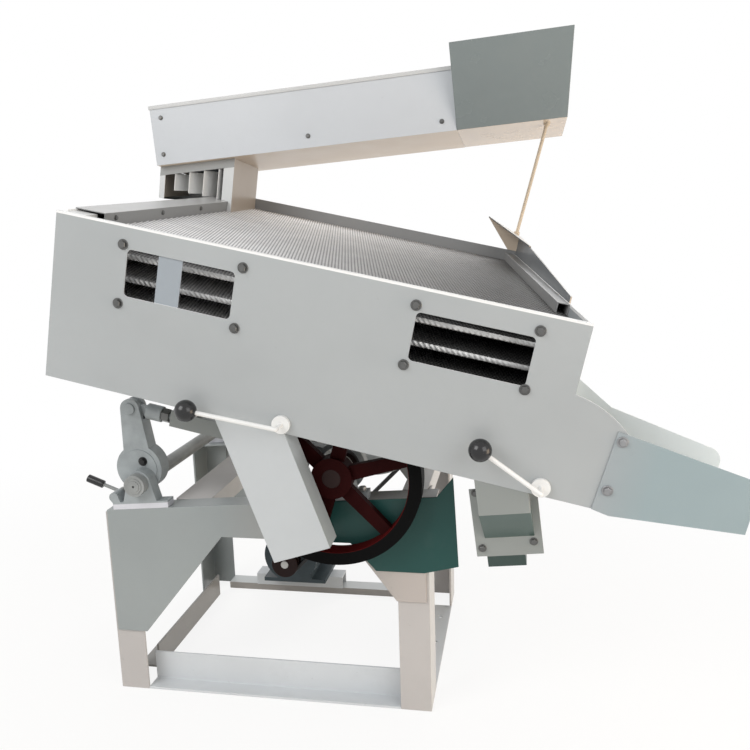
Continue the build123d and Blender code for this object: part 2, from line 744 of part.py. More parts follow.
def lock_nut(end):
    """Hexagon nut against the barrel."""
    seat = Plane(origin=(BARREL_END, end * LINK_Y, 0), z_dir=(1, 0, 0))
    nut = extrude(seat * RegularPolygon(LOCK_NUT_R, 6), LOCK_NUT_T)
    bore = rod((BARREL_END, end * LINK_Y, 0), (BARREL_END + LOCK_NUT_T, end * LINK_Y, 0), ROD_R + ROD_FIT)
    return on_link(nut - bore)


drive_offset = LINK.to_local_coords(Vector(DRIVE_AXIS[0], 0, DRIVE_AXIS[1]))
STRAP = (drive_offset.X, drive_offset.Z)
BEAM_END = STRAP[0] - BEAM_STOP_SHORT
STRAP_BORE_R = ECCENTRIC_R + OPEN_PIVOT_GAP


def link_beam(end):
    """Channel with closed ends, open towards the middle of the machine."""
    y = end * LINK_Y
    wall = y + end * (BEAM_W / 2 - BEAM_T)
    beam = block(BEAM_START, BEAM_END, y - BEAM_W / 2, y + BEAM_W / 2, -BEAM_H / 2, BEAM_H / 2)
    half = BEAM_H / 2 - BEAM_T
    hollow = block(BEAM_START + BEAM_T, BEAM_END - BEAM_T, y - end * BEAM_W, wall, -half, half)
    return on_link(beam - hollow)


def post(end, at):
    """Post from a beam up to the underside of the tilted table."""
    y = end * LINK_Y
    foot = BEAM_H / 2
    piece = block(at - POST_W / 2, at + POST_W / 2, y - BEAM_W / 2, y + BEAM_W / 2, foot, foot + PANEL_L)
    return on_link(piece) - on_table(block(-REACH, REACH, -REACH, REACH, -TABLE_H, REACH))


def pitman(end):
    """Eccentric strap with a foot on the end of the beam."""
    y0 = end * LINK_Y - STRAP_T / 2
    y1 = end * LINK_Y + STRAP_T / 2
    strap = bar_y(STRAP, STRAP_BORE_R + STRAP_WALL, y0, y1)
    strap += block(BEAM_END, STRAP[0], y0, y1, -BEAM_H / 2, BEAM_H / 2)
    return on_link(strap - bar_y(STRAP, STRAP_BORE_R, y0, y1))


save("rod_ends", rod_end(-1), rod_end(1))
save("lock_nuts", lock_nut(-1), lock_nut(1))
save("link_beams", link_beam(-1), link_beam(1))
save("pitmans", pitman(-1), pitman(1))
save("table_posts", *[post(end, at) for end in (-1, 1) for at in POST_AT])


# Table box: front panel, walls, floor and trays
def front_panel():
    """Pressed panel with a nose to the right, two windows, a bar behind one and a folded top lip."""
    notch = (PANEL_L, -PANEL_NOTCH_H)
    nose = (PANEL_NOSE_L, -PANEL_NOSE_H)
    middle = ((notch[0] + nose[0]) / 2, (notch[1] + nose[1]) / 2 + PANEL_NOSE_SAG)
    edges = Polyline(nose, (PANEL_FOOT_L, -PANEL_H), (0, -PANEL_H), (0, 0), (PANEL_L, 0), notch)
    panel = plate_xz(make_face([*edges.edges(), ThreePointArc(notch, middle, nose)]), 0, SHEET_T)
    for x in WINDOW_X:
        panel -= plate_xz(Pos(x, WINDOW_Z) * RectangleRounded(WINDOW_W, WINDOW_H, WINDOW_R), 0, SHEET_T)
    for x in GATE_X:
        panel -= bar_y((x, GATE_Z), SPINDLE_R + RUNNING_FIT, 0, SHEET_T)
    half = WINDOW_H / 2 + WINDOW_BAR_LAP
    bar_x = (WINDOW_BAR_X - WINDOW_BAR_W / 2, WINDOW_BAR_X + WINDOW_BAR_W / 2)
    panel += block(*bar_x, SHEET_T, 2 * SHEET_T, WINDOW_Z - half, WINDOW_Z + half)
    return panel + block(0, PANEL_L, 0, PANEL_LIP, -SHEET_T, 0)


save("front_panel", on_table(front_panel()))

floor_outline = [
    (WALL_X, TROUGH_BACK + SHEET_T),
    (right_wall_x(TROUGH_BACK + SHEET_T) + SHEET_T, TROUGH_BACK + SHEET_T),
    (right_wall_x(TABLE_D) + SHEET_T, TABLE_D),
    (WALL_X, TABLE_D),
]
save("table_floor", on_table(slab_xy(floor_outline, -TABLE_H, FLOOR_TOP)))
save("left_wall", on_table(block(WALL_X, WALL_X + SHEET_T, PANEL_LIP, TABLE_D, FLOOR_TOP, LEFT_TOP)))
save("right_wall", on_table(along_right_wall(0, SHEET_T, PANEL_LIP, TABLE_D, FLOOR_TOP, RIGHT_TOP)))
rear_end_x = right_wall_x(TABLE_D) + SHEET_T
save("rear_wall", on_table(block(WALL_X, rear_end_x, TABLE_D, TABLE_D + SHEET_T, -TABLE_H, REAR_TOP)))

LEFT_INNER_X = WALL_X + SHEET_T
STRIP_X = WALL_X + STRIP_W
STRIP_TOP = LEFT_TOP + STRIP_T
strip = block(WALL_X, STRIP_X, STRIP_START_Y, STRIP_END_Y, LEFT_TOP, STRIP_TOP)
strip += block(STRIP_X - STRIP_T, STRIP_X, STRIP_START_Y, STRIP_END_Y, TRAY_TOP_Z, STRIP_TOP)
save("tray_clamp", on_table(strip))

channel_inside = (CHANNEL_T - CHANNEL_W, -CHANNEL_T)
channel = along_right_wall(-CHANNEL_W, 0, CHANNEL_START_Y, TABLE_D, TRAY_TOP_Z, RIGHT_TOP)
channel -= along_right_wall(*channel_inside, CHANNEL_START_Y, TABLE_D, TRAY_TOP_Z, RIGHT_TOP - CHANNEL_T)
save("tray_channel", on_table(channel))

TRAY_REAR = TABLE_D - TRAY_GAP
TRAY_LEFT = LEFT_INNER_X + TRAY_GAP
tray_outline = [
    (TRAY_LEFT, TRAY_FRONT),
    (right_wall_x(TRAY_FRONT) - TRAY_GAP, TRAY_FRONT),
    (right_wall_x(TRAY_REAR) - TRAY_GAP, TRAY_REAR),
    (TRAY_LEFT, TRAY_REAR),
]


def spacer_bars(low, high):
    """Wooden bars that hold two trays apart along the left, right and rear edges."""
    rear = TRAY_REAR - SPACER_W
    front = TRAY_FRONT + TRAY_T
    left = block(TRAY_LEFT, TRAY_LEFT + SPACER_W, front, TRAY_REAR, low, high)
    right = along_right_wall(-TRAY_GAP - SPACER_W, -TRAY_GAP, front, TRAY_REAR, low, high)
    span = (TRAY_LEFT + SPACER_W, right_wall_x(rear) - TRAY_GAP - SPACER_W)
    outline = [(span[0], rear), (span[1], rear), (right_wall_x(TRAY_REAR) - TRAY_GAP - SPACER_W, TRAY_REAR)]
    back = slab_xy([*outline, (span[0], TRAY_REAR)], low, high)
    return [left, right, back]


def tray(top):
    """Flat tray with its front edge folded down."""
    lip = block(TRAY_LEFT, REACH, TRAY_FRONT, TRAY_FRONT + TRAY_T, top - TRAY_LIP, top)
    return slab_xy(tray_outline, top - TRAY_T, top) + (lip & slab_xy(tray_outline, top - TRAY_LIP, top))


tray_tops = [TRAY_TOP_Z - TRAY_PITCH * level for level in range(TRAY_COUNT)]
save("trays", *[on_table(tray(top)) for top in tray_tops])
spacers = []
for top, low in zip(tray_tops, [*tray_tops[1:], FLOOR_TOP]):
    spacers += spacer_bars(low, top - TRAY_T)
save("tray_spacers", *[on_table(bar) for bar in spacers])


# Guard on the right wall
def guard_top(y):
    """Height of the guard's top edge, in two straight runs."""
    if y <= GUARD_FOLD_Y:
        part = (y - GUARD_START_Y) / (GUARD_FOLD_Y - GUARD_START_Y)
        return GUARD_FRONT_TOP + part * (GUARD_FOLD_TOP - GUARD_FRONT_TOP)
    part = (y - GUARD_FOLD_Y) / (TABLE_D - GUARD_FOLD_Y)
    return GUARD_FOLD_TOP + part * (GUARD_REAR_TOP - GUARD_FOLD_TOP)


def guard_flange(low, high):
    """Flange folded over the table, wider to the rear, between two heights above the guard's edge."""
    pitch = GUARD_FLANGE_RISE / GUARD_FLANGE_REAR_W
    corners = []
    for y, width in ((GUARD_FOLD_Y, GUARD_FLANGE_W), (TABLE_D, GUARD_FLANGE_REAR_W)):
        outer = right_wall_x(y) + 2 * SHEET_T
        edge = guard_top(y) + low
        corners.append([(outer, y, edge), (outer - width, y, edge + width * pitch)])
    near, far = corners
    face = make_face(Polyline(near[0], far[0], far[1], near[1], close=True))
    return extrude(face, high - low, dir=(0, 0, 1))


def guard_end():
    """Plate that closes the corner under the rear end of the flange."""
    outer = right_wall_x(TABLE_D) + 2 * SHEET_T
    foot = REAR_TOP + BOX_SEAT_GAP
    tip = (outer - GUARD_FLANGE_REAR_W, guard_top(TABLE_D) + GUARD_FLANGE_RISE)
    outline = [(outer, foot), (outer, guard_top(TABLE_D)), tip, (outer - GUARD_END_W, foot)]
    return slab_xz(outline, TABLE_D - SHEET_T, TABLE_D)


guard = along_right_wall(SHEET_T, 2 * SHEET_T, GUARD_START_Y, TABLE_D, -GUARD_SKIRT, GUARD_REAR_TOP)
guard_profile = [
    (GUARD_START_Y, -GUARD_SKIRT),
    (TABLE_D, -GUARD_SKIRT),
    (TABLE_D, guard_top(TABLE_D)),
    (GUARD_FOLD_Y, guard_top(GUARD_FOLD_Y)),
    (GUARD_START_Y, guard_top(GUARD_START_Y)),
]
guard = guard & slab_yz(guard_profile, 0, REACH)
save("guard_plate", on_table(guard + guard_flange(0, SHEET_T) + guard_end()))


# Discharge trough and chutes
def leaning(x, width, length, lean_deg, inset, tail):
    """Outline of a leaning tube that hangs from the trough's underside."""
    lean = radians(lean_deg)
    down = Vector(sin(lean), -cos(lean))
    across = Vector(cos(lean), sin(lean))
    top = Vector(x + inset / cos(lean), -PANEL_H)
    span = width - 2 * inset
    left_foot = top + down * (length + tail - inset * tan(lean))
    right_foot = left_foot + across * span
    right_top = (top.X + span / cos(lean), -PANEL_H)
    return [(p.X, p.Y) for p in (top, left_foot, right_foot)] + [right_top]


def tube(x, width, length, lean_deg, tail):
    """Hollow leaning tube, open at its lower end."""
    outer = slab_xz(leaning(x, width, length, lean_deg, 0, 0), 0, TROUGH_BACK)
    inner = slab_xz(leaning(x, width, length, lean_deg, CHUTE_T, tail), CHUTE_T, TROUGH_BACK - CHUTE_T)
    return outer - inner


def top_span(x, width, lean_deg, inset):
    """Ends of the opening that a leaning tube needs in the trough's floor."""
    lean = radians(lean_deg)
    return (x + inset / cos(lean), x + (width - inset) / cos(lean))


trough = block(WALL_X, PANEL_FOOT_L, TROUGH_BACK, TROUGH_BACK + SHEET_T, -PANEL_H, FLOOR_TOP)
trough += block(WALL_X, PANEL_FOOT_L, SHEET_T, TROUGH_BACK, -PANEL_H, SHEET_T - PANEL_H)
trough += block(WALL_X, WALL_X + SHEET_T, SHEET_T, TROUGH_BACK, -PANEL_H, FLOOR_TOP)
for x, width, lean in ((CHUTE_X, CHUTE_W, CHUTE_LEAN_DEG), (OUTLET_X, OUTLET_W, OUTLET_LEAN_DEG)):
    mouth = top_span(x, width, lean, CHUTE_T)
    trough -= block(*mouth, SHEET_T + CHUTE_T, TROUGH_BACK - CHUTE_T, -PANEL_H, SHEET_T - PANEL_H)
save("discharge_trough", on_table(trough))
save("left_chute", on_table(tube(CHUTE_X, CHUTE_W, CHUTE_L, CHUTE_LEAN_DEG, CHUTE_L)))


def middle_outlet():
    """Leaning box with a sloped foot, a bolted flange behind it and a duct down to a short spout."""
    lean = radians(OUTLET_LEAN_DEG)
    frame = Plane(
        origin=(OUTLET_X, 0, -PANEL_H),
        x_dir=(cos(lean), 0, sin(lean)),
        z_dir=(-sin(lean), 0, cos(lean)),
    )
    back = TROUGH_BACK
    wall = back - CHUTE_T
    rear = back + OUTLET_FLANGE_T
    top = OUTLET_W
    piece = slab_yz([(0, top), (0, -OUTLET_FOLD), (back, -OUTLET_L), (back, top)], 0, OUTLET_W)
    floor = OUTLET_L - 2 * CHUTE_T
    hollow = [(CHUTE_T, 2 * top), (CHUTE_T, -OUTLET_FOLD), (wall, -floor), (wall, 2 * top)]
    flange_x = (-OUTLET_FLANGE_LEFT, OUTLET_W + OUTLET_FLANGE_RIGHT)
    piece += block(*flange_x, back, rear, -OUTLET_FLANGE_L, -OUTLET_FLANGE_TOP)
    foot = -OUTLET_FLANGE_L - SPOUT_H
    piece += block(0, SPOUT_W, rear, rear + SPOUT_D, foot, -OUTLET_FOLD)
    piece += block(0, SPOUT_W, back, rear, foot, -OUTLET_FLANGE_L)
    piece -= slab_yz(hollow, CHUTE_T, OUTLET_W - CHUTE_T)
    duct_x = (CHUTE_T, SPOUT_W - CHUTE_T)
    duct_top = -OUTLET_FOLD - CHUTE_T
    piece -= block(*duct_x, rear, rear + SPOUT_D - CHUTE_T, 2 * foot, duct_top)
    piece -= block(*duct_x, wall, rear, -floor, duct_top)
    return frame.location * piece - block(-REACH, REACH, -REACH, REACH, -PANEL_H, REACH)


save("middle_outlet", on_table(middle_outlet()))


def end_chute():
    """Open tray past the low end: tall front plate, floor and a rear wall that runs back to the table."""
    foot_z = -PANEL_H - END_CHUTE_FOOT_DROP
    lap_x = PANEL_FOOT_L
    nose = (PANEL_NOSE_L - END_CHUTE_LAP, -PANEL_NOSE_H + END_CHUTE_FOOT_DROP)
    tip_top = (END_CHUTE_TIP_X, END_CHUTE_TOP_Z)
    tip = (END_CHUTE_TIP_X, END_CHUTE_TIP_Z)
    foot = (END_CHUTE_FOOT_X, foot_z)
    heel = (lap_x, -PANEL_H)
    piece = slab_xz([nose, tip_top, tip, foot, heel], -SHEET_T, 0)
    floor_line = [(lap_x + SHEET_T, -PANEL_H), foot, tip]
    floor_line += [(x, z + SHEET_T) for x, z in reversed(floor_line)]
    piece += slab_xz(floor_line, 0, END_CHUTE_D)
    rear_y = (END_CHUTE_D - SHEET_T, END_CHUTE_D)
    rear_tip_z = foot_z + (END_CHUTE_TIP_Z - foot_z) * (END_CHUTE_REAR_X - foot[0]) / (tip[0] - foot[0])
    rear_top_z = END_CHUTE_TOP_Z + END_CHUTE_FOOT_DROP
    table_x = right_wall_x(TROUGH_BACK + SHEET_T) + SHEET_T
    seam = (END_CHUTE_SEAM_X, -PANEL_NOSE_H + 2 * END_CHUTE_FOOT_DROP)
    start = (table_x, -PANEL_H)
    shoulder = (table_x, END_CHUTE_SHOULDER_Z)
    low = (END_CHUTE_REAR_X, rear_top_z - END_CHUTE_REAR_R)
    high = (END_CHUTE_REAR_X - END_CHUTE_REAR_R, rear_top_z)
    bend = END_CHUTE_REAR_R * (1 - cos(radians(45)))
    turn = (END_CHUTE_REAR_X - bend, rear_top_z - bend)
    outline = Polyline(high, seam, shoulder, start, heel, foot, (END_CHUTE_REAR_X, rear_tip_z), low)
    piece += plate_xz(make_face([*outline.edges(), ThreePointArc(low, turn, high)]), *rear_y)
    behind = TROUGH_BACK + SHEET_T
    piece += block(table_x, lap_x + SHEET_T, behind, END_CHUTE_D, -PANEL_H, SHEET_T - PANEL_H)
    return piece + block(table_x, table_x + SHEET_T, behind, END_CHUTE_D, -PANEL_H, END_CHUTE_SHOULDER_Z)


save("right_chute", on_table(end_chute()))


# Splitter gates
def gate(index):
    """Spindle with a flap in the trough, a hub in front and a cranked lever."""
    x = GATE_X[index]
    centre = (x, GATE_Z)
    front = -HUB_GAP - HUB_T
    piece = bar_y(centre, SPINDLE_R, front, TROUGH_BACK - GATE_SIDE_GAP)
    piece += bar_y(centre, HUB_R, front, -HUB_GAP)
    piece += bar_y(centre, LEVER_R, -LEVER_STANDOFF, front)
    inside = (SHEET_T + GATE_SIDE_GAP, TROUGH_BACK - GATE_SIDE_GAP)
    piece += block(x - GATE_T / 2, x + GATE_T / 2, *inside, GATE_Z, GATE_Z + GATE_H)
    tip = polar(centre, LEVER_LENGTHS[index], LEVER_DEG[index])
    start = (x, -LEVER_STANDOFF, GATE_Z)
    end = (tip[0], -LEVER_STANDOFF, tip[1])
    piece += rod(start, end, LEVER_R) + Pos(*start) * Sphere(LEVER_R)
    ball = Pos(*end) * Sphere(BALL_R) - rod(start, end, LEVER_R + SEAT_FIT)
    return piece, ball


for index, name in enumerate(("left", "right")):
    lever, ball = gate(index)
    save(f"gate_lever_{name}", on_table(lever))
    save(f"gate_knob_{name}", on_table(ball))


# Feed side: trough, lid, hopper, distributor and stay
def feed_section(inset, top):
    """Section of the feed trough, its floor falling to the rear."""
    slope = FEED_DROP / FEED_D
    near = (inset, inset - slope * inset)
    far = (FEED_D - inset, inset - slope * (FEED_D - inset))
    return [near, far, (FEED_D - inset, top), (inset, top)]


feed = slab_yz(feed_section(0, FEED_H), 0, FEED_L)
feed -= slab_yz(feed_section(FEED_T, 2 * FEED_H), FEED_T, 2 * FEED_L)
outlet_span = (BOX_POST, BOX_L - BOX_RIGHT_POST, BOX_INSET + BOX_POST, BOX_INSET + BOX_D - BOX_POST)
feed -= block(*outlet_span, -FEED_H, FEED_H / 2)
save("feed_trough", on_feed(feed))

skirt = LID_GAP + FEED_T
lid = block(-skirt, FEED_L, -skirt, FEED_D + skirt, FEED_H - LID_SKIRT, FEED_H + FEED_T)
lid -= block(-LID_GAP, 2 * FEED_L, -LID_GAP, FEED_D + LID_GAP, -FEED_H, FEED_H)
save("feed_lid", on_feed(lid))


def hopper_form(inset, floor, high):
    """Flared hopper body, its left side upright against the trough and its floor falling to the rear."""
    rings = []
    for height in (-FEED_H, high):
        part = height / HOPPER_H
        x0 = FEED_L + inset
        x1 = FEED_L + HOPPER_L + HOPPER_FLARE_X * part - inset
        y0 = inset - HOPPER_FLARE_FRONT * part
        y1 = FEED_D + HOPPER_FLARE_REAR * part - inset
        corners = [(x0, y0, height), (x1, y0, height), (x1, y1, height), (x0, y1, height)]
        rings.append(make_face(Polyline(*corners, close=True)))
    fall = REACH * FEED_DROP / FEED_D
    above = [(-REACH, floor + fall), (REACH, floor - fall), (REACH, REACH), (-REACH, REACH)]
    return loft(rings) & slab_yz(above, 0, REACH)


hopper = hopper_form(0, 0, HOPPER_H) - hopper_form(FEED_T, FEED_T, 2 * HOPPER_H)
mouth_y = (HOPPER_MOUTH_INSET, FEED_D - HOPPER_MOUTH_INSET)
hopper -= block(FEED_L, FEED_L + FEED_T, *mouth_y, FEED_T, HOPPER_MOUTH_H)
save("hopper", on_feed(hopper))

gap = BOX_SEAT_GAP
table_space = block(-REACH, REACH, -REACH, REACH, -REACH, TRAY_TOP_Z + gap)
table_space += block(WALL_X - gap, LEFT_INNER_X + gap, -REACH, TABLE_D, -REACH, LEFT_TOP + gap)
table_space += block(WALL_X - gap, STRIP_X + gap, -REACH, STRIP_END_Y + gap, -REACH, STRIP_TOP + gap)
table_space += block(WALL_X - gap, REACH, TABLE_D - gap, TABLE_D + SHEET_T + gap, -REACH, REAR_TOP + gap)
feed_space = on_feed(slab_yz(feed_section(0, FEED_H), -FEED_L, FEED_L))
BOX_SLOPE = tan(radians(BOX_LEAN_DEG))


def box_slab(x0, x1, y0, y1, drop):
    """Part of the distributor, its upright edges leaning to the left on the way down."""
    shift = drop * BOX_SLOPE
    return slab_xz([(x0, 0), (x1, 0), (x1 - shift, -drop), (x0 - shift, -drop)], y0, y1)


def distributor():
    """Open-fronted box under the trough, cut to seat on the table."""
    front = BOX_INSET
    back = BOX_INSET + BOX_D
    box = box_slab(0, BOX_L, front, back, BOX_H)
    box -= box_slab(FEED_T, BOX_L - FEED_T, 0, back - FEED_T, BOX_H)
    box += box_slab(0, BOX_POST, front, front + FEED_T, BOX_H)
    box += box_slab(BOX_L - BOX_RIGHT_POST, BOX_L, front, front + FEED_T, BOX_H)
    return box + box_slab(0, BOX_L, front, front + FEED_T, BOX_RAIL)


def vane(index):
    """Bowed vane from the front opening to the back of the box, leaning like the box."""
    x = VANE_FIRST + VANE_PITCH * index
    front = BOX_INSET + FEED_T
    back = BOX_INSET + BOX_D - FEED_T
    lines = []
    for shift in (0, VANE_T):
        bowed = (x + shift + VANE_BOW, (front + back) / 2)
        lines.append(ThreePointArc((x + shift, front), bowed, (x + shift, back)))
    ends = [Line(lines[0] @ 0, lines[1] @ 0), Line(lines[0] @ 1, lines[1] @ 1)]
    face = Pos(-BOX_RAIL * BOX_SLOPE, 0, -BOX_RAIL) * make_face([*lines, *ends])
    return extrude(face, BOX_H, dir=(-BOX_SLOPE, 0, -1))


save("distributor", on_feed(distributor()) - feed_space - on_table(table_space))
vane_foot = on_table(block(-REACH, REACH, -REACH, REACH, -REACH, STRIP_TOP + gap))
save("distributor_vanes", *[on_feed(vane(index)) - vane_foot for index in range(VANE_COUNT)])


def stay():
    """Straight stay rod with collars, cut to the guard's flange and the hopper's underside."""
    inward = STAY_FOOT_INSET + 2 * SHEET_T
    foot_z = guard_top(STAY_FOOT_Y) + inward * GUARD_FLANGE_RISE / GUARD_FLANGE_REAR_W
    foot = TABLE.from_local_coords(Vector(right_wall_x(STAY_FOOT_Y) - STAY_FOOT_INSET, STAY_FOOT_Y, foot_z))
    top = FEED.from_local_coords(Vector(STAY_TOP[0], STAY_TOP[1], 0))
    run = (top - foot).normalized()
    margin = run * STAY_COLLAR_L
    piece = rod(tuple(foot - margin), tuple(top + margin), STAY_R)
    piece += rod(tuple(foot - margin), tuple(foot + margin), STAY_COLLAR_R)
    piece += rod(tuple(top - margin), tuple(top + margin), STAY_COLLAR_R)
    return piece - on_table(guard_flange(-4 * STAY_COLLAR_L, SHEET_T)) - on_feed(hopper_form(0, 0, HOPPER_H))


save("stay_rod", stay())
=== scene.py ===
import json
import math

import bmesh
import bpy
from mathutils import Matrix, Vector


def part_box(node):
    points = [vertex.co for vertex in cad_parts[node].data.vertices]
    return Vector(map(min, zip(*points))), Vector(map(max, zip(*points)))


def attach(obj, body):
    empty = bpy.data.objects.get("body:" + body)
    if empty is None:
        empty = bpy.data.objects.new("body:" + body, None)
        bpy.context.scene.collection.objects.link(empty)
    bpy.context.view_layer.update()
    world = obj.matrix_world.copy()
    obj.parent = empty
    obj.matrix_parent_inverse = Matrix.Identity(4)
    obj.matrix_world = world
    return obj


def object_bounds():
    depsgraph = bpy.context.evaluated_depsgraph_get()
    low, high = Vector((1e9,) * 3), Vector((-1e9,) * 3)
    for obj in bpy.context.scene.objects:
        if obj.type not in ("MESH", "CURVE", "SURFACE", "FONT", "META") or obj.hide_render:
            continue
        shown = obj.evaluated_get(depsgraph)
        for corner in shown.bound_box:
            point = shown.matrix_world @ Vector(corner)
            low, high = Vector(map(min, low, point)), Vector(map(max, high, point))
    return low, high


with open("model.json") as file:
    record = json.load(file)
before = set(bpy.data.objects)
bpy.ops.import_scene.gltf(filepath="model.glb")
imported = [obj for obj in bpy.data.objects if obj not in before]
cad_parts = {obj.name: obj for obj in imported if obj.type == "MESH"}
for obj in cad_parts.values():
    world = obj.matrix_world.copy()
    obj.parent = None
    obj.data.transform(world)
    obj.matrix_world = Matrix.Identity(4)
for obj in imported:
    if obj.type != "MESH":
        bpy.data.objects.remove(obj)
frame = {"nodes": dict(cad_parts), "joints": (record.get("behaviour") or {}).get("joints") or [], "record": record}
CAD_LOW, CAD_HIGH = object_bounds()

# Camera of the photograph, in metres and degrees; the focal length is in pixels of the square image
CAMERA_AT = (0.6238, -2.0583, 1.1685)
YAW_DEG = 10.80
PITCH_DEG = 10.70
ROLL_DEG = 1.80
FOCAL_PX = 794.9
IMAGE_PX = 750
SENSOR_MM = 36.0

# Sizes as in the solids, in metres and degrees; those of table pieces are in the table's own frame
PANEL_T = 0.003
TROUGH_BACK = 0.062
TRAY_FRONT = 0.0655
TRAY_REAR = 0.9845
TRAY_LEFT = 0.0205
TRAY_COUNT = 4
TRAY_TOP = -0.022
TRAY_RISE = 0.051
TRAY_TOPS = [TRAY_TOP - TRAY_RISE * level for level in range(TRAY_COUNT)]
STRIP_X = 0.088
RIGHT_FRONT_X = 1.130
RIGHT_REAR_X = 0.958
GATE_LEFT_X = 0.558
GATE_Z = -0.352
OUTLET_X = 0.984
OUTLET_Z = -0.372
OUTLET_FOLD = 0.081
OUTLET_FLANGE_L = 0.205
OUTLET_LEAN_DEG = 19.0
FEED_CORNER = (-0.464, 0.250, 1.363)
FEED_RISE_DEG = 3.64
BOX_RAIL = 0.027
RIM_INNER_R = 0.1785
LEDGE_Z = 0.519
LEDGE_RISE_DEG = 4.3

# Soft edges of the solids, in metres and degrees
BEVEL_W = 0.0012
BEVEL_SEGMENTS = 2
SHARP_DEG = 35
FLAT_DEG = 0.3
WELD_GAP = 1e-5
NORMAL_WEIGHT = 100

# Bolts, in metres; each is turned by a radian more than the one before
BOLT_R = 0.0085
BOLT_H = 0.006
BOLT_SIDES = 6
FIRST_TURN = 0.4
WASHER_R = 0.0115
WASHER_T = 0.002
ROUND_SIDES = 24
PANEL_BOLTS = [
    (0.158, -0.042), (0.158, -0.170), (0.425, -0.167), (0.426, -0.037),
    (0.794, -0.037), (1.044, -0.035), (0.792, -0.163), (1.041, -0.158),
]
CHUTE_BOLTS = [(1.251, -0.218), (1.248, -0.325)]
OUTLET_BOLTS = [(0.9935, -0.4255), (1.0365, -0.5490), (1.140, -0.503)]
STRIP_BOLT_Y = (0.091, 0.325, 0.562, 0.792)
STRIP_BOLT_Z = -0.004
FEED_BOLTS = [(0.009, 1.426), (0.396, 1.446), (-0.440, 1.395), (-0.440, 1.500)]
HUB_SCREW = (-0.309, 0.607)

# Turned face of the rocker shaft, as steps of radius and height in metres
CAP_STEPS = [(0.0195, 0.002), (0.0145, 0.0015)]
CAP_SIDES = 48
CAP_HOLE_R = 0.0028
CAP_HOLE_H = 0.0004

# Folded plate at the table's left end, in metres in the table's frame
END_PLATE_X = (0.0172, 0.066)
END_PLATE_Y = (0.0032, 0.052)
END_PLATE_TOP = 0.0012
END_PLATE_T = 0.002
END_PLATE_FOLD = 0.012

# Pressed dimples and rope-like edges of the trays, in metres
DIMPLE_PITCH = 0.0078
DIMPLE_ROW = 0.0165
DIMPLE_H = 0.0024
DIMPLE_BASE_H = 0.0002
DIMPLE_MARGIN = TRAY_LEFT / 2
EDGE_WAVE = 0.0012
EDGE_H = 0.010
EDGE_PITCH = 0.012
EDGE_STEPS = 6
EDGE_LEVELS = 5

# Where paint changes, and where painted light, shade and reflection begin, in metres; PAINT_LINE is how wide the
# line between two paints is
PAINT_LINE = 0.001
HEM_H = 0.0045
FOOT_H = 0.013
RIM_FACE_T = 0.004
BAR_Y = (0.8 * PANEL_T, 0.95 * PANEL_T)
CHUTE_FADE_X = (1.18, 1.33)
CHUTE_INSIDE_Y = (0.001, 0.004)
BEARER_WARM_X = (-0.10, 0.35)
BEARER_DIM_X = (0.0, 0.10)
REAR_DIM_X = (-0.10, 0.10)
TRAY_FADE_X = (0.32, 0.95)

# Cosines between which a face comes to count as looking along a direction
FACING_COSINE = (0.55, 0.75)

# Heights of the tray's wave between which a gap of painted shade turns into a dot
DOT_EDGE = (-0.6, 0.30)

# Clear coat over a paint whose shine is one
COAT_SHARE = 0.24

# Colours that are mixed into others or used more than once; many are painted light, shade and reflection
BLACK = (0.0, 0.0, 0.0)
WHITE = (1.0, 1.0, 1.0)
# Painted warm bounce light from the floor, laid on undersides and some sides
WARM_BOUNCE_BEIGE = (0.66, 0.55, 0.435)
# Painted shade of the table over both bearers
BEARER_SHADE_GREY = (0.30, 0.325, 0.325)
CAST_GREY = (0.35, 0.38, 0.39)
# Painted shadow behind the flywheel
SHADOW_BEHIND_WHEEL = (0.16, 0.157, 0.15)
# Painted warm bounce light on the front bearer
BEARER_WARM_BOUNCE = (0.46, 0.415, 0.385)
# Painted highlight along the panels' top edge
HEM_HIGHLIGHT = (0.86, 0.86, 0.855)
BAR_BLUE = (0.325, 0.36, 0.395)
# Painted shadow under the feed trough's overhang
BOX_RAIL_SHADOW = (0.31, 0.315, 0.31)
# Painted shade near the table and painted light inside the chute
CHUTE_NEAR_SHADE = (0.355, 0.370, 0.385)
CHUTE_INSIDE_LIT = (0.74, 0.79, 0.80)
# Painted shade and painted reflection of a green floor on the outlet's foot and spout
FOOT_FLOOR_REFLECTION = (0.052, 0.090, 0.080)
SPOUT_SHADE_REFLECTION = (0.020, 0.045, 0.038)
FOOT_PALE = (0.62, 0.62, 0.66)
# Painted highlight on the inner face of the flywheel's rim
RIM_INNER_HIGHLIGHT = (0.075, 0.005, 0.005)
RIM_BLACK = (0.003, 0.003, 0.003)
TRAY_DULL = (0.74, 0.73, 0.73)
TRAY_BRIGHT = (0.87, 0.86, 0.86)
# Painted shade in the gaps between the tray's dots, and painted shade towards the low end
TRAY_GAP_SHADE = (0.31, 0.31, 0.31)
TRAY_LOW_END_SHADE = (0.15, 0.15, 0.147)
TRAY_LOW_GAP_SHADE = (0.05, 0.05, 0.05)
SCUFF_BROWN = (0.20, 0.19, 0.175)
FLOOR_TINTS = ((0.90, 0.87, 0.82), (0.93, 0.90, 0.85))
WARM_LIGHT = (1.0, 0.78, 0.55)

# Floor and light; the floor turns white to the camera between two distances in metres
FLOOR_SIZE = 60.0
FLOOR_GAP = 0.0005
FLOOR_ROUGH = 0.9
FLOOR_GLOW = (0.86, 1.0)
FLOOR_FADE = (0.9, 2.4)
AMBIENT = 0.55


def joint(name):
    """A joint of the frame by its name."""
    return next(item for item in frame["joints"] if item["name"] == name)


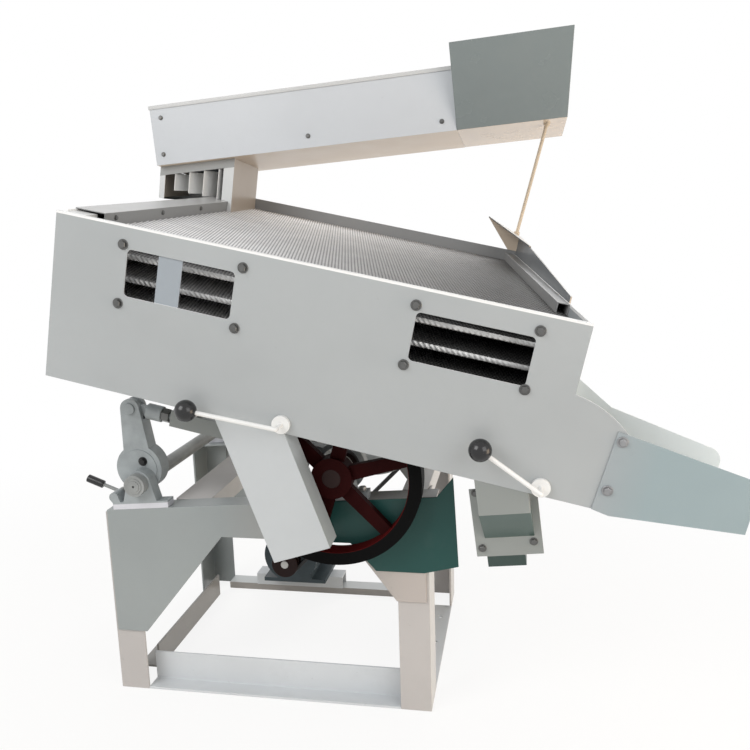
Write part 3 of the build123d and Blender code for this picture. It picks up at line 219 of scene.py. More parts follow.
# Table frame, taken from the two gate spindles, which lie on one line along the table
left_pin = Vector(joint("gate_left_turn")["pos_m"])
right_pin = Vector(joint("gate_right_turn")["pos_m"])
ALONG = (right_pin - left_pin).normalized()
BACK = Vector(joint("gate_left_turn")["axis"]).normalized()
SQUARE = ALONG.cross(BACK)
CORNER = left_pin - ALONG * GATE_LEFT_X - SQUARE * GATE_Z
TABLE = Matrix.Translation(CORNER) @ Matrix((ALONG, BACK, SQUARE)).transposed().to_4x4()

# Feed frame and the directions of the whole machine
FEED_FRAME = Matrix.Translation(FEED_CORNER) @ Matrix.Rotation(-math.radians(FEED_RISE_DEG), 4, "Y")
RIGHT = (1.0, 0.0, 0.0)
FORWARD = (0.0, -1.0, 0.0)
UP = (0.0, 0.0, 1.0)
DOWN = (0.0, 0.0, -1.0)


def right_wall_x(y):
    """Inner face of the table's right wall."""
    share = (y - PANEL_T) / (TRAY_REAR - PANEL_T)
    return RIGHT_FRONT_X + (RIGHT_REAR_X - RIGHT_FRONT_X) * share


# Node helpers
def new_material(name):
    """A material with its node tree and its shader."""
    mat = bpy.data.materials.new(name)
    mat.use_nodes = True
    tree = mat.node_tree
    shader = next(node for node in tree.nodes if node.type == "BSDF_PRINCIPLED")
    return mat, tree, shader


def coords(tree):
    """Object coordinates, which for every piece are those of the frame at rest."""
    return tree.nodes.new("ShaderNodeTexCoord").outputs["Object"]


def axes(tree, matrix=None):
    """The three object coordinates, in another frame where one is given."""
    vector = coords(tree)
    if matrix is not None:
        mapping = tree.nodes.new("ShaderNodeMapping")
        inverse = matrix.inverted()
        mapping.inputs["Location"].default_value = inverse.to_translation()
        mapping.inputs["Rotation"].default_value = inverse.to_euler()
        tree.links.new(vector, mapping.inputs["Vector"])
        vector = mapping.outputs["Vector"]
    split = tree.nodes.new("ShaderNodeSeparateXYZ")
    tree.links.new(vector, split.inputs["Vector"])
    return split.outputs["X"], split.outputs["Y"], split.outputs["Z"]


def calc(tree, operation, *values):
    """Math node on sockets and plain numbers."""
    node = tree.nodes.new("ShaderNodeMath")
    node.operation = operation
    for socket, value in zip(node.inputs, values):
        if isinstance(value, (int, float)):
            socket.default_value = value
        else:
            tree.links.new(value, socket)
    return node.outputs[0]


def noise(tree, vector, scale, detail=3.0, roughness=0.55):
    """Noise between nought and one."""
    node = tree.nodes.new("ShaderNodeTexNoise")
    node.inputs["Scale"].default_value = scale
    node.inputs["Detail"].default_value = detail
    node.inputs["Roughness"].default_value = roughness
    tree.links.new(vector, node.inputs["Vector"])
    return node.outputs["Fac"]


def ramp(tree, factor, low, high):
    """Colour ramp between two stops, each a position and a colour."""
    node = tree.nodes.new("ShaderNodeValToRGB")
    for element, (position, colour) in zip(node.color_ramp.elements, (low, high)):
        element.position = position
        element.color = (*colour, 1.0)
    tree.links.new(factor, node.inputs["Fac"])
    return node.outputs["Color"]


def mix(tree, factor, first, second):
    """Mixes two colours or sockets by a factor socket."""
    node = tree.nodes.new("ShaderNodeMix")
    node.data_type = "RGBA"
    for socket, value in (("A", first), ("B", second)):
        target = next(s for s in node.inputs if s.name == socket and s.type == "RGBA")
        if isinstance(value, tuple):
            target.default_value = (*value, 1.0)
        else:
            tree.links.new(value, target)
    tree.links.new(factor, node.inputs["Factor"])
    return next(s for s in node.outputs if s.type == "RGBA")


def span(tree, factor, low, high, start=0.0, end=1.0):
    """Maps a socket from one range of values to another, held at the ends."""
    node = tree.nodes.new("ShaderNodeMapRange")
    node.inputs["From Min"].default_value = start
    node.inputs["From Max"].default_value = end
    node.inputs["To Min"].default_value = low
    node.inputs["To Max"].default_value = high
    tree.links.new(factor, node.inputs["Value"])
    return node.outputs["Result"]


def fade(tree, value, start, end, first, second):
    """Goes from one colour to another while a value runs from start to end."""
    return mix(tree, span(tree, value, 0.0, 1.0, start, end), first, second)


def bump(tree, shader, height, strength, distance):
    """Relief on the shader's normal."""
    node = tree.nodes.new("ShaderNodeBump")
    node.inputs["Strength"].default_value = strength
    node.inputs["Distance"].default_value = distance
    tree.links.new(height, node.inputs["Height"])
    tree.links.new(node.outputs["Normal"], shader.inputs["Normal"])


def shade(colour, factor):
    """A colour made darker or lighter."""
    return tuple(channel * factor for channel in colour)


# Kinds of material
def paint(name, colour, gloss=(0.26, 0.42), grime=0.10, zone=None, shine=0.5):
    """Sprayed paint: faint patches, soft grime, specks and orange peel; a zone recolours part of it."""
    mat, tree, shader = new_material(name)
    vector = coords(tree)
    soiled = (grime,) * 3
    patches = noise(tree, vector, scale=3.0)
    base = ramp(tree, patches, (0.35, shade(colour, 0.95)), (0.65, shade(colour, 1.03)))
    if zone is not None:
        base = zone(tree, base)
    clouds = noise(tree, vector, scale=6.0, detail=7.0, roughness=0.65)
    dirty = mix(tree, ramp(tree, clouds, (0.52, BLACK), (0.85, soiled)), base, SCUFF_BROWN)
    specks = noise(tree, vector, scale=70.0, detail=2.0)
    worn = mix(tree, ramp(tree, specks, (0.72, BLACK), (0.80, soiled)), dirty, SCUFF_BROWN)
    tree.links.new(worn, shader.inputs["Base Color"])
    tree.links.new(span(tree, noise(tree, vector, scale=14.0), *gloss), shader.inputs["Roughness"])
    bump(tree, shader, noise(tree, vector, scale=180.0, detail=2.0), strength=0.08, distance=0.0006)
    shader.inputs["Specular IOR Level"].default_value = shine
    shader.inputs["Coat Weight"].default_value = COAT_SHARE * shine
    shader.inputs["Coat Roughness"].default_value = 0.15
    return mat


def metal(name, colour, rough=(0.28, 0.45), metallic=0.9):
    """Plated or machined steel with fine grain and dull patches."""
    mat, tree, shader = new_material(name)
    vector = coords(tree)
    patches = noise(tree, vector, scale=30.0, detail=5.0)
    tint = ramp(tree, patches, (0.3, shade(colour, 0.72)), (0.7, colour))
    tree.links.new(tint, shader.inputs["Base Color"])
    smears = noise(tree, vector, scale=45.0, detail=4.0)
    tree.links.new(span(tree, smears, *rough), shader.inputs["Roughness"])
    bump(tree, shader, noise(tree, vector, scale=900.0, detail=2.0), strength=0.12, distance=0.0003)
    shader.inputs["Metallic"].default_value = metallic
    return mat


def casting(name, colour, rough=(0.35, 0.55), zone=None, shine=0.5):
    """Painted sand casting with a coarse skin; a zone recolours part of it."""
    mat, tree, shader = new_material(name)
    vector = coords(tree)
    patches = noise(tree, vector, scale=22.0, detail=6.0)
    worn = ramp(tree, patches, (0.30, shade(colour, 0.78)), (0.62, colour))
    if zone is not None:
        worn = zone(tree, worn)
    tree.links.new(worn, shader.inputs["Base Color"])
    tree.links.new(span(tree, noise(tree, vector, scale=30.0), *rough), shader.inputs["Roughness"])
    bump(tree, shader, noise(tree, vector, scale=240.0, detail=4.0), strength=0.30, distance=0.0010)
    shader.inputs["Specular IOR Level"].default_value = shine
    return mat


def dull(name, colour, rough=(0.45, 0.7), scale=120.0, strength=0.2):
    """Rubber, wood or plastic skin."""
    mat, tree, shader = new_material(name)
    vector = coords(tree)
    patches = noise(tree, vector, scale / 8, detail=4.0)
    tint = ramp(tree, patches, (0.3, shade(colour, 0.75)), (0.7, colour))
    tree.links.new(tint, shader.inputs["Base Color"])
    tree.links.new(span(tree, noise(tree, vector, scale / 3), *rough), shader.inputs["Roughness"])
    bump(tree, shader, noise(tree, vector, scale), strength, distance=0.0006)
    return mat


def tray_sheet():
    """Galvanised tray with bright pressed dots and gaps of painted shade, in staggered rows, with painted shade
    towards the low end.
    """
    mat, tree, shader = new_material("tray_sheet")
    vector = coords(tree)
    x, y, _ = axes(tree, TABLE)
    wave_x = calc(tree, "COSINE", calc(tree, "MULTIPLY", x, 2 * math.pi / DIMPLE_PITCH))
    wave_y = calc(tree, "COSINE", calc(tree, "MULTIPLY", y, math.pi / DIMPLE_ROW))
    dots = calc(tree, "MULTIPLY", wave_x, wave_y)
    worn = ramp(tree, noise(tree, vector, scale=12.0, detail=5.0), (0.3, TRAY_DULL), (0.7, TRAY_BRIGHT))
    raised = fade(tree, x, *TRAY_FADE_X, worn, TRAY_LOW_END_SHADE)
    gaps = fade(tree, x, *TRAY_FADE_X, TRAY_GAP_SHADE, TRAY_LOW_GAP_SHADE)
    tree.links.new(fade(tree, dots, *DOT_EDGE, gaps, raised), shader.inputs["Base Color"])
    tree.links.new(span(tree, noise(tree, vector, scale=40.0), 0.5, 0.7), shader.inputs["Roughness"])
    bump(tree, shader, dots, strength=0.6, distance=0.0015)
    shader.inputs["Metallic"].default_value = 0.25
    shader.inputs["Specular IOR Level"].default_value = 0.2
    return mat


# Zones: parts of a painted piece that have another colour; most of them are painted light, shade and reflection
def painted_light_facing(direction, colour, other=None):
    """Zone of painted light and shade on the faces that look along a direction, laid over another zone where one
    is given.
    """
    def zone(tree, base):
        if other is not None:
            base = other(tree, base)
        normal = tree.nodes.new("ShaderNodeTexCoord").outputs["Normal"]
        dot = tree.nodes.new("ShaderNodeVectorMath")
        dot.operation = "DOT_PRODUCT"
        dot.inputs[1].default_value = direction
        tree.links.new(normal, dot.inputs[0])
        return fade(tree, dot.outputs["Value"], *FACING_COSINE, base, colour)
    return zone


def painted_hem_highlight(tree, base):
    """Panel paint, with a painted highlight along the top edge."""
    _, _, z = axes(tree, TABLE)
    return fade(tree, z, -HEM_H - PAINT_LINE / 2, -HEM_H, base, HEM_HIGHLIGHT)


def front_paint(tree, base):
    """Front panel paint, with a painted highlight along the top edge, and a blue-grey bar behind the left window.
    """
    _, y, _ = axes(tree, TABLE)
    return fade(tree, y, *BAR_Y, painted_hem_highlight(tree, base), BAR_BLUE)


def painted_warm_light_and_shadow(tree, base):
    """Front bearer's paint, with painted warm light to the right and a painted shadow on the ledge behind the
    flywheel.
    """
    x, _, _ = axes(tree)
    warm = fade(tree, x, *BEARER_WARM_X, base, BEARER_WARM_BOUNCE)
    dim = fade(tree, x, *BEARER_DIM_X, warm, SHADOW_BEHIND_WHEEL)
    return painted_light_facing(UP, dim)(tree, warm)


def painted_shadow_to_the_right(tree, base):
    """Rear bearer's paint, with a painted shadow behind the flywheel."""
    x, _, _ = axes(tree)
    return fade(tree, x, *REAR_DIM_X, base, SHADOW_BEHIND_WHEEL)


def shaded_rail(tree, base):
    """Distributor paint, with a painted shadow of the feed trough's overhang on the rail under the trough."""
    _, _, z = axes(tree, FEED_FRAME)
    return fade(tree, z, -BOX_RAIL - PAINT_LINE, -BOX_RAIL, base, BOX_RAIL_SHADOW)


def painted_chute_light(tree, base):
    """Chute paint, with painted shade towards the table and painted light on the inside."""
    x, y, _ = axes(tree, TABLE)
    outside = fade(tree, x, *CHUTE_FADE_X, CHUTE_NEAR_SHADE, base)
    return fade(tree, y, *CHUTE_INSIDE_Y, outside, CHUTE_INSIDE_LIT)


def painted_foot_reflection(tree, base):
    """Outlet paint, with painted shade and green floor reflection on the sloped foot in front of the flange,
    darker on the spout.
    """
    x, y, z = axes(tree, TABLE)
    lean = math.radians(OUTLET_LEAN_DEG)
    across = calc(tree, "MULTIPLY", calc(tree, "SUBTRACT", x, OUTLET_X), math.sin(lean))
    upward = calc(tree, "MULTIPLY", calc(tree, "SUBTRACT", z, OUTLET_Z), math.cos(lean))
    down = calc(tree, "SUBTRACT", across, upward)
    below = span(tree, down, 0.0, 1.0, OUTLET_FOLD, OUTLET_FOLD + PAINT_LINE)
    ahead = span(tree, y, 1.0, 0.0, TROUGH_BACK - PAINT_LINE, TROUGH_BACK - PAINT_LINE / 2)
    green = mix(tree, calc(tree, "MULTIPLY", below, ahead), base, FOOT_FLOOR_REFLECTION)
    return fade(tree, down, OUTLET_FLANGE_L, OUTLET_FLANGE_L + PAINT_LINE, green, SPOUT_SHADE_REFLECTION)


def pale_foot(tree, base):
    """Rocker bearing paint, pale on the foot plate, which follows the slope of the ledge."""
    x, _, z = axes(tree)
    slope = math.tan(math.radians(LEDGE_RISE_DEG))
    rise = calc(tree, "SUBTRACT", z, calc(tree, "MULTIPLY", x, slope))
    top = LEDGE_Z + FOOT_H
    return fade(tree, rise, top, top + PAINT_LINE, FOOT_PALE, base)


def black_rim(tree, base):
    """Flywheel paint, with a painted highlight on the inner face of the rim, and black outside it."""
    x, _, z = axes(tree)
    hub = joint("flywheel_spin")["pos_m"]
    squares = []
    for socket, middle in ((x, hub[0]), (z, hub[2])):
        squares.append(calc(tree, "POWER", calc(tree, "SUBTRACT", socket, middle), 2.0))
    radius = calc(tree, "SQRT", calc(tree, "ADD", *squares))
    red = fade(tree, radius, RIM_INNER_R - RIM_FACE_T, RIM_INNER_R - RIM_FACE_T / 2, base, RIM_INNER_HIGHLIGHT)
    return fade(tree, radius, RIM_INNER_R, RIM_INNER_R + PAINT_LINE, red, RIM_BLACK)


# Materials of the table and feed
# Panel paint with a painted highlight along the top edge
PANEL = paint("panel_white", (0.395, 0.42, 0.433), zone=painted_hem_highlight, shine=0.35)
# The front panel's upward faces and top edge carry painted highlight
FRONT = paint("front_white", (0.405, 0.425, 0.432), shine=0.35,
              zone=painted_light_facing(SQUARE, (0.80, 0.80, 0.795), front_paint))
# The feed trough's faces that look down carry painted warm bounce light
FEED = paint("feed_white", (0.55, 0.572, 0.598), zone=painted_light_facing(DOWN, WARM_BOUNCE_BEIGE))
EDGING = paint("edging_white", (0.80, 0.80, 0.79))
LID = paint("lid_white", (0.55, 0.555, 0.55))
# The distributor's faces that look right carry painted warm bounce light and shade, and its top rail a painted
# shadow
DISTRIBUTOR = paint("distributor_white", (0.62, 0.63, 0.63),
                    zone=painted_light_facing(RIGHT, (0.41, 0.35, 0.29), shaded_rail))
# The clamp strip's dark grey is painted shade under its flange, and its upward faces are painted light
STRIP = paint("strip_white", (0.24, 0.245, 0.245), zone=painted_light_facing(SQUARE, (0.49, 0.49, 0.485)))
# The guard's dark grey is painted shade, its upward faces are painted light, and its forward faces carry painted
# warm bounce light
GUARD = paint("guard_painted_light_and_shade", (0.155, 0.165, 0.175), shine=0.15,
              zone=painted_light_facing(SQUARE, (0.78, 0.77, 0.75), painted_light_facing(-BACK, WARM_BOUNCE_BEIGE)))
WALL = paint("wall_grey", (0.26, 0.262, 0.262))
# The chute's faces that look right are darker with painted shade
CHUTE = paint("chute_white", (0.505, 0.53, 0.545), zone=painted_light_facing(RIGHT, (0.38, 0.415, 0.43)))
# The hopper's dark grey-green is painted shade and painted reflection of a green floor; its undersides carry
# painted warm bounce light
HOPPER_SHADE = paint("hopper_painted_shade_and_reflection", (0.187, 0.218, 0.22), gloss=(0.2, 0.32), zone=painted_light_facing(DOWN, WARM_BOUNCE_BEIGE))
# The chute's grey-green is painted reflection of a green floor
CHUTE_REFLECTING = paint("chute_painted_floor_reflection", (0.29, 0.363, 0.384), zone=painted_chute_light)
# The outlet's sloped foot and spout are dark green with painted shade and painted floor reflection
OUTLET = paint("outlet_grey", (0.255, 0.272, 0.262), zone=painted_foot_reflection)
# The stay's beige is painted warm bounce light
STAY = paint("stay_painted_warm_bounce", (0.62, 0.52, 0.40))
LINK_GREY = paint("link_grey", (0.23, 0.245, 0.235))
TRAY = tray_sheet()
TRAY_EDGE = metal("tray_edge", (0.78, 0.78, 0.77), rough=(0.25, 0.4), metallic=0.3)
WOOD = dull("spacer_wood", (0.10, 0.075, 0.05))
BALL = dull("ball_black", (0.012, 0.012, 0.013), rough=(0.12, 0.25), scale=60.0, strength=0.05)

# Materials of the stand
# The legs' faces that look right are a little lighter with painted light
LEGS = paint("leg_paint", (0.49, 0.465, 0.45), grime=0.2, zone=painted_light_facing(RIGHT, (0.50, 0.485, 0.465)))
# The rear left leg's dark grey-green is painted shade
REAR_LEG_SHADE = paint("rear_leg_painted_shade", (0.27, 0.295, 0.295), grime=0.2)
RAILS = paint("rail_white", (0.63, 0.655, 0.675), grime=0.2)
SIDE_RAIL = paint("side_rail_grey", (0.30, 0.29, 0.275), grime=0.2)
# The rear rail's faces that look forward are darker with painted shade
REAR_RAIL = paint("rear_rail_white", (0.62, 0.64, 0.64), grime=0.2, zone=painted_light_facing(-BACK, (0.34, 0.32, 0.30)))
# The front bearer is in painted shade, with painted warm light to the right and a painted shadow behind the
# flywheel
BEARER = paint("bearer_painted_shade", BEARER_SHADE_GREY, grime=0.15, zone=painted_warm_light_and_shadow)
# The rear bearer is in painted shade, with a painted shadow behind the flywheel
REAR_BEARER = paint("rear_bearer_painted_shade", BEARER_SHADE_GREY, grime=0.15, zone=painted_shadow_to_the_right)
# The apron's dark teal is painted shade and painted reflection of a green floor
APRON = paint("apron_painted_shade_and_reflection", (0.015, 0.067, 0.060), gloss=(0.3, 0.45), shine=0.25)

# Materials of the drive, castings and bolts
CAST = casting("cast_grey", CAST_GREY)
BLOCK = casting("block_grey", CAST_GREY, zone=pale_foot)
# The flywheel's very dark red is partly painted shade, and the inner face of its rim carries a painted highlight;
# the black rim is its own paint
WHEEL = casting("wheel_red", (0.020, 0.002, 0.002), rough=(0.55, 0.75), zone=black_rim, shine=0.06)
SHAFT_GREY = casting("shaft_grey", (0.30, 0.31, 0.305))
# Painted shade: the eccentric shaft's end is as dark as the shaded hub around it; the motor pulley shares this
# paint
SHAFT_DARK = casting("shaft_dark", (0.020, 0.008, 0.007), shine=0.2)
MOTOR = casting("motor_dark", (0.030, 0.050, 0.060))
RUBBER = dull("belt_black", (0.015, 0.015, 0.016))
STEEL = metal("bright_steel", (0.62, 0.61, 0.58))
ZINC = metal("bolt_zinc", (0.17, 0.17, 0.165), rough=(0.25, 0.4))
BOLT_GREY = metal("bolt_grey", (0.36, 0.36, 0.365), rough=(0.3, 0.45))
DARK_BOLT = metal("bolt_dark", (0.05, 0.05, 0.05), rough=(0.35, 0.55))

BY_SLOT = {
    "panel_paint": PANEL,
    "chute_paint": CHUTE_REFLECTING,
    "stand_paint": LEGS,
    "apron_paint": APRON,
    "casting": CAST,
    "wheel": WHEEL,
    "bright_steel": STEEL,
    "tray_sheet": TRAY,
    "spacer_wood": WOOD,
    "motor_paint": MOTOR,
    "belt_rubber": RUBBER,
    "black_ball": BALL,
}
BY_NODE = {
    "front_panel": FRONT,
    "hopper": HOPPER_SHADE,
    "gate_lever_left": EDGING,
    "gate_lever_right": EDGING,
    "tray_clamp": STRIP,
    "tray_channel": WALL,
    "rear_wall": WALL,
    "guard_plate": GUARD,
    "stay_rod": STAY,
    "left_chute": CHUTE,
    "middle_outlet": OUTLET,
    "feed_trough": FEED,
    "feed_lid": LID,
    "distributor": DISTRIBUTOR,
    "distributor_vanes": EDGING,
    "front_bearer": BEARER,
    "rear_bearer": REAR_BEARER,
    "rail_front": RAILS,
    "rail_rear": REAR_RAIL,
    "rail_left": SIDE_RAIL,
    "rail_right": RAILS,
    "leg_rear_left": REAR_LEG_SHADE,
    "motor_slide": RAILS,
    "link_beams": LINK_GREY,
    "rod_ends": CAST,
    "pivot_pins": CAST,
    "lock_nuts": ZINC,
    "clamp_handle_front": SHAFT_GREY,
    "clamp_handle_rear": SHAFT_GREY,
    "rocker_blocks": BLOCK,
    "driven_pulley": CAST,
    "motor_pulley": SHAFT_DARK,
    "rocker_shaft": SHAFT_GREY,
    "eccentric_shaft": SHAFT_DARK,
}

# Open-topped pieces whose narrow rim has to keep its own triangles
RIMMED = ("hopper", "feed_trough")


def dress(node, mat):
    """Gives a CAD node its material, and soft edges that catch the light."""
    obj = frame["nodes"][node]
    obj.data.materials.clear()
    obj.data.materials.append(mat)
    weld = obj.modifiers.new("weld", "WELD")
    weld.merge_threshold = WELD_GAP
    if node not in RIMMED:
        flat = obj.modifiers.new("flat", "DECIMATE")
        flat.decimate_type = "DISSOLVE"
        flat.angle_limit = math.radians(FLAT_DEG)
    edges = obj.modifiers.new("edges", "BEVEL")
    edges.width = BEVEL_W
    edges.segments = BEVEL_SEGMENTS
    edges.limit_method = "ANGLE"
    edges.angle_limit = math.radians(SHARP_DEG)
    normals = obj.modifiers.new("normals", "WEIGHTED_NORMAL")
    normals.weight = NORMAL_WEIGHT
    normals.keep_sharp = False


for part in frame["record"]["subparts"]:
    dress(part["node"], BY_NODE.get(part["node"], BY_SLOT[part["material_slot"]]))


# Helpers for the pieces made here
def add_piece(name, bm, body, mat):
    """Turns a finished mesh into a piece that moves with a body."""
    mesh = bpy.data.meshes.new(name)
    bm.to_mesh(mesh)
    bm.free()
    obj = bpy.data.objects.new(name, mesh)
    bpy.context.scene.collection.objects.link(obj)
    obj.data.materials.append(mat)
    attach(obj, body)
    return obj


def skin(bm, lower, upper, closed=True):
    """Faces between two rows of points, which are rings where closed."""
    faces = []
    for step in range(len(lower) if closed else len(lower) - 1):
        after = (step + 1) % len(lower)
        faces.append(bm.faces.new((lower[step], lower[after], upper[after], upper[step])))
    return faces


def prism(bm, matrix, radius, low, high, sides, chamfer):
    """Upright prism with a chamfered top."""
    rings = []
    for r, z in ((radius, low), (radius, high - chamfer), (radius - chamfer, high)):
        ring = []
        for step in range(sides):
            angle = 2 * math.pi * step / sides
            ring.append(bm.verts.new(matrix @ Vector((r * math.cos(angle), r * math.sin(angle), z))))
        rings.append(ring)
    for lower, upper in zip(rings, rings[1:]):
        skin(bm, lower, upper)
    bm.faces.new(rings[-1])
    bm.faces.new(list(reversed(rings[0])))


def bolts(name, body, places, mat, size=1.0):
    """Hexagon bolts with washers; each place is a point and the direction that the head looks in."""
    bm = bmesh.new()
    for index, (point, outward) in enumerate(places):
        turn = Matrix.Rotation(FIRST_TURN + index, 4, "Z") @ Matrix.Scale(size, 4)
        aim = Vector(outward).to_track_quat("Z", "Y").to_matrix().to_4x4()
        seat = Matrix.Translation(point) @ aim @ turn
        prism(bm, seat, WASHER_R, 0.0, WASHER_T, ROUND_SIDES, WASHER_T / 4)
        prism(bm, seat, BOLT_R, WASHER_T, WASHER_T + BOLT_H, BOLT_SIDES, BOLT_H / 4)
    add_piece(name, bm, body, mat)


def on_table(places, y):
    """Places given as x and z on a plane across the table, looking out of its front."""
    return [(TABLE @ Vector((x, y, z)), -BACK) for x, z in places]


# Pieces made here
def all_bolts():
    """Bolts on the panel, chutes, clamp strip and feed, and the screw in the rocker arm's hub."""
    bolts("panel_bolts", "table", on_table(PANEL_BOLTS, 0.0), ZINC)
    bolts("chute_bolts", "table", on_table(CHUTE_BOLTS, -PANEL_T), BOLT_GREY)
    bolts("outlet_bolts", "table", on_table(OUTLET_BOLTS, TROUGH_BACK), ZINC, size=0.8)
    strip_places = [(TABLE @ Vector((STRIP_X, y, STRIP_BOLT_Z)), ALONG) for y in STRIP_BOLT_Y]
    bolts("strip_bolts", "table", strip_places, ZINC, size=0.55)
    feed_places = [(Vector((x, FEED_CORNER[1], z)), FORWARD) for x, z in FEED_BOLTS]
    bolts("feed_bolts", "table", feed_places, ZINC, size=0.6)
    arm_low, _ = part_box("rocker_arm_front")
    hub_front = Vector((HUB_SCREW[0], arm_low[1], HUB_SCREW[1]))
    bolts("hub_screw", "rocker", [(hub_front, FORWARD)], DARK_BOLT)


def shaft_cap():
    """Turned face on the front end of the rocker shaft, with its centre drilling drawn as a thin dark disc of
    painted shade.
    """
    bm = bmesh.new()
    shaft_low, shaft_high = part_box("rocker_shaft")
    middle = (shaft_low + shaft_high) / 2
    seat = Matrix.Translation((middle.x, shaft_low[1], middle.z)) @ Matrix.Rotation(math.pi / 2, 4, "X")
    low = 0.0
    for radius, height in CAP_STEPS:
        prism(bm, seat, radius, low, low + height, CAP_SIDES, height / 3)
        low += height
    add_piece("shaft_cap", bm, "rocker", SHAFT_GREY)
    # The centre drilling is a thin dark disc that stands for the shade in the hole
    bm = bmesh.new()
    prism(bm, seat, CAP_HOLE_R, low, low + CAP_HOLE_H, ROUND_SIDES, CAP_HOLE_H / 3)
    add_piece("shaft_centre_painted_hole", bm, "rocker", DARK_BOLT)


def end_plate():
    """Folded plate between the front panel and the end of the clamp strip, held by the left wall."""
    left, right = END_PLATE_X
    profile = [
        (left, END_PLATE_TOP),
        (right, END_PLATE_TOP),
        (right, END_PLATE_TOP - END_PLATE_FOLD),
        (right - END_PLATE_T, END_PLATE_TOP - END_PLATE_FOLD),
        (right - END_PLATE_T, END_PLATE_TOP - END_PLATE_T),
        (left, END_PLATE_TOP - END_PLATE_T),
    ]
    bm = bmesh.new()
    front, rear = [[bm.verts.new(TABLE @ Vector((x, y, z))) for x, z in profile] for y in END_PLATE_Y]
    skin(bm, front, rear)
    bm.faces.new(list(reversed(front)))
    bm.faces.new(rear)
    bmesh.ops.recalc_face_normals(bm, faces=bm.faces)
    obj = add_piece("end_plate", bm, "table", EDGING)
    edges = obj.modifiers.new("edges", "BEVEL")
    edges.width = BEVEL_W / 2
    edges.segments = BEVEL_SEGMENTS


def tray_dimples():
    """Pressed dimples over the top tray, in staggered rows."""
    bm = bmesh.new()
    step_x = DIMPLE_PITCH / 2
    step_y = DIMPLE_ROW / 2
    first_column = math.ceil((TRAY_LEFT + step_x) / step_x)
    first_row = math.ceil(TRAY_FRONT / step_y)
    last_column = int(RIGHT_FRONT_X / step_x)
    last_row = int(TRAY_REAR / step_y)
    verts = {}
    for row in range(first_row, last_row + 1):
        y = row * step_y
        for column in range(first_column, last_column + 1):
            x = column * step_x
            if x > right_wall_x(y) - DIMPLE_MARGIN:
                break
            raised = row % 2 == 0 and (column - row // 2) % 2 == 0
            z = TRAY_TOPS[0] + (DIMPLE_H if raised else DIMPLE_BASE_H)
            verts[row, column] = bm.verts.new(TABLE @ Vector((x, y, z)))
    for (row, column), corner in verts.items():
        others = [(row, column + 1), (row + 1, column + 1), (row + 1, column)]
        if all(key in verts for key in others):
            face = bm.faces.new((corner, *[verts[key] for key in others]))
            face.smooth = True
    add_piece("tray_dimples", bm, "table", TRAY)


def tray_edges():
    """Rope-like pressed front edges of the trays, seen through the windows."""
    bm = bmesh.new()
    step = EDGE_PITCH / EDGE_STEPS
    count = int((right_wall_x(TRAY_FRONT) - 2 * TRAY_LEFT) / step)
    for top in TRAY_TOPS:
        rows = []
        for level in range(EDGE_LEVELS + 1):
            rise = EDGE_H * (level / EDGE_LEVELS - 1)
            swell = EDGE_WAVE * math.sin(math.pi * level / EDGE_LEVELS)
            row = []
            for index in range(count + 1):
                x = TRAY_LEFT + index * step
                wave = EDGE_WAVE * (1 + math.sin(2 * math.pi * (x + rise) / EDGE_PITCH))
                row.append(bm.verts.new(TABLE @ Vector((x, TRAY_FRONT - swell - wave, top + rise))))
            rows.append(row)
        for lower, upper in zip(rows, rows[1:]):
            for face in skin(bm, lower, upper, closed=False):
                face.smooth = True
    add_piece("tray_edges", bm, "table", TRAY_EDGE)


all_bolts()
shaft_cap()
end_plate()
tray_dimples()
tray_edges()


# Floor, light and camera
def seen_directly(tree):
    """One for camera, glossy and transmission rays, else nought."""
    path = tree.nodes.new("ShaderNodeLightPath")
    seen = path.outputs["Is Camera Ray"]
    for name in ("Is Glossy Ray", "Is Transmission Ray"):
        seen = calc(tree, "MAXIMUM", seen, path.outputs[name])
    return seen


def floor_material():
    """Pale floor, white to the camera further off, that keeps the shadow."""
    mat, tree, shader = new_material("floor")
    vector = coords(tree)
    tint = ramp(tree, noise(tree, vector, scale=1.5), (0.3, FLOOR_TINTS[0]), (0.7, FLOOR_TINTS[1]))
    tree.links.new(tint, shader.inputs["Base Color"])
    shader.inputs["Roughness"].default_value = FLOOR_ROUGH
    length = tree.nodes.new("ShaderNodeVectorMath")
    length.operation = "LENGTH"
    tree.links.new(vector, length.inputs[0])
    whiter = span(tree, length.outputs["Value"], *FLOOR_GLOW, *FLOOR_FADE)
    glow = tree.nodes.new("ShaderNodeEmission")
    blend = tree.nodes.new("ShaderNodeMixShader")
    tree.links.new(calc(tree, "MULTIPLY", seen_directly(tree), whiter), blend.inputs["Fac"])
    tree.links.new(shader.outputs[0], blend.inputs[1])
    tree.links.new(glow.outputs[0], blend.inputs[2])
    output = next(node for node in tree.nodes if node.type == "OUTPUT_MATERIAL")
    tree.links.new(blend.outputs[0], output.inputs["Surface"])
    return mat


bpy.ops.mesh.primitive_plane_add(size=FLOOR_SIZE, location=(0, 0, CAD_LOW.z - FLOOR_GAP))
floor = bpy.context.object
floor.name = "floor"
floor.data.materials.append(floor_material())


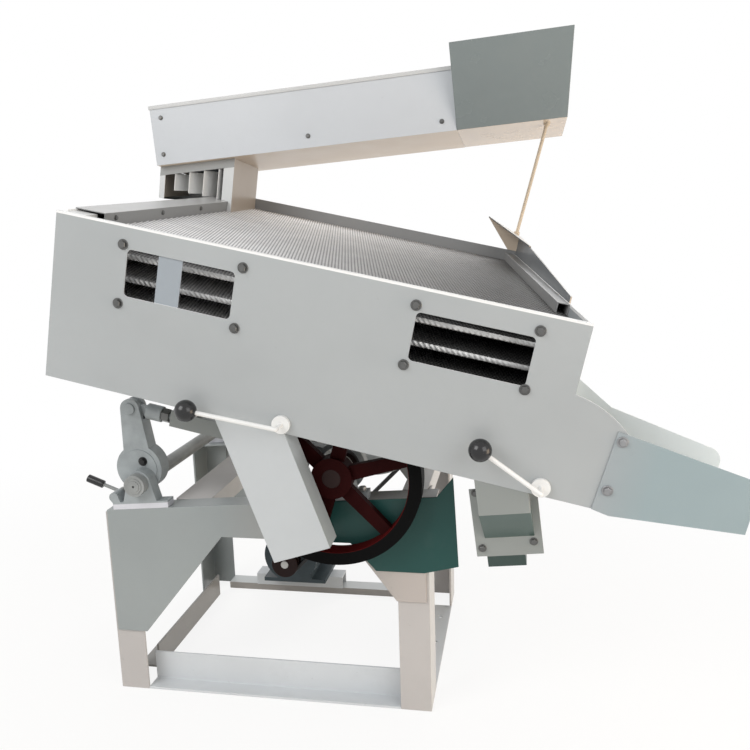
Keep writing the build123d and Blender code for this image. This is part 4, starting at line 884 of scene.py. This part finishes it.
def studio_world():
    """White to the camera and in reflections, softer as a light."""
    world = bpy.data.worlds.new("studio")
    world.use_nodes = True
    bpy.context.scene.world = world
    tree = world.node_tree
    background = next(node for node in tree.nodes if node.type == "BACKGROUND")
    tree.links.new(span(tree, seen_directly(tree), AMBIENT, 1.0), background.inputs["Strength"])
    background.inputs["Color"].default_value = (*WHITE, 1.0)


def area_light(name, at, size, watts, colour=WHITE):
    """Square lamp that looks at the middle of the machine."""
    data = bpy.data.lights.new(name, "AREA")
    data.size = size
    data.energy = watts
    data.color = colour
    lamp = bpy.data.objects.new(name, data)
    bpy.context.scene.collection.objects.link(lamp)
    lamp.location = at
    middle = (CAD_LOW + CAD_HIGH) / 2
    lamp.rotation_euler = (middle - Vector(at)).to_track_quat("-Z", "Y").to_euler()


studio_world()
area_light("key", at=(-2.2, -3.2, 3.4), size=2.6, watts=95)
area_light("fill", at=(3.0, -2.6, 2.2), size=2.4, watts=40)
area_light("back", at=(0.5, 3.0, 3.2), size=2.4, watts=40)
area_light("warm_low", at=(2.6, -0.5, 0.3), size=1.6, watts=32, colour=WARM_LIGHT)


def photo_camera():
    """Camera where the photograph was taken from."""
    yaw, pitch, roll = (math.radians(angle) for angle in (YAW_DEG, PITCH_DEG, ROLL_DEG))
    ahead = Vector((-math.sin(yaw) * math.cos(pitch), math.cos(yaw) * math.cos(pitch), -math.sin(pitch)))
    right = Vector((math.cos(yaw), math.sin(yaw), 0.0))
    down = ahead.cross(right)
    tilted = right * math.cos(roll) + down * math.sin(roll)
    up = right * math.sin(roll) - down * math.cos(roll)
    data = bpy.data.cameras.new("camera")
    data.sensor_width = SENSOR_MM
    data.lens = FOCAL_PX * SENSOR_MM / IMAGE_PX
    camera = bpy.data.objects.new("camera", data)
    bpy.context.scene.collection.objects.link(camera)
    turn = Matrix((tilted, up, -ahead)).transposed().to_4x4()
    camera.matrix_world = Matrix.Translation(CAMERA_AT) @ turn
    bpy.context.scene.camera = camera


photo_camera()
bpy.context.scene.view_settings.view_transform = "Standard"
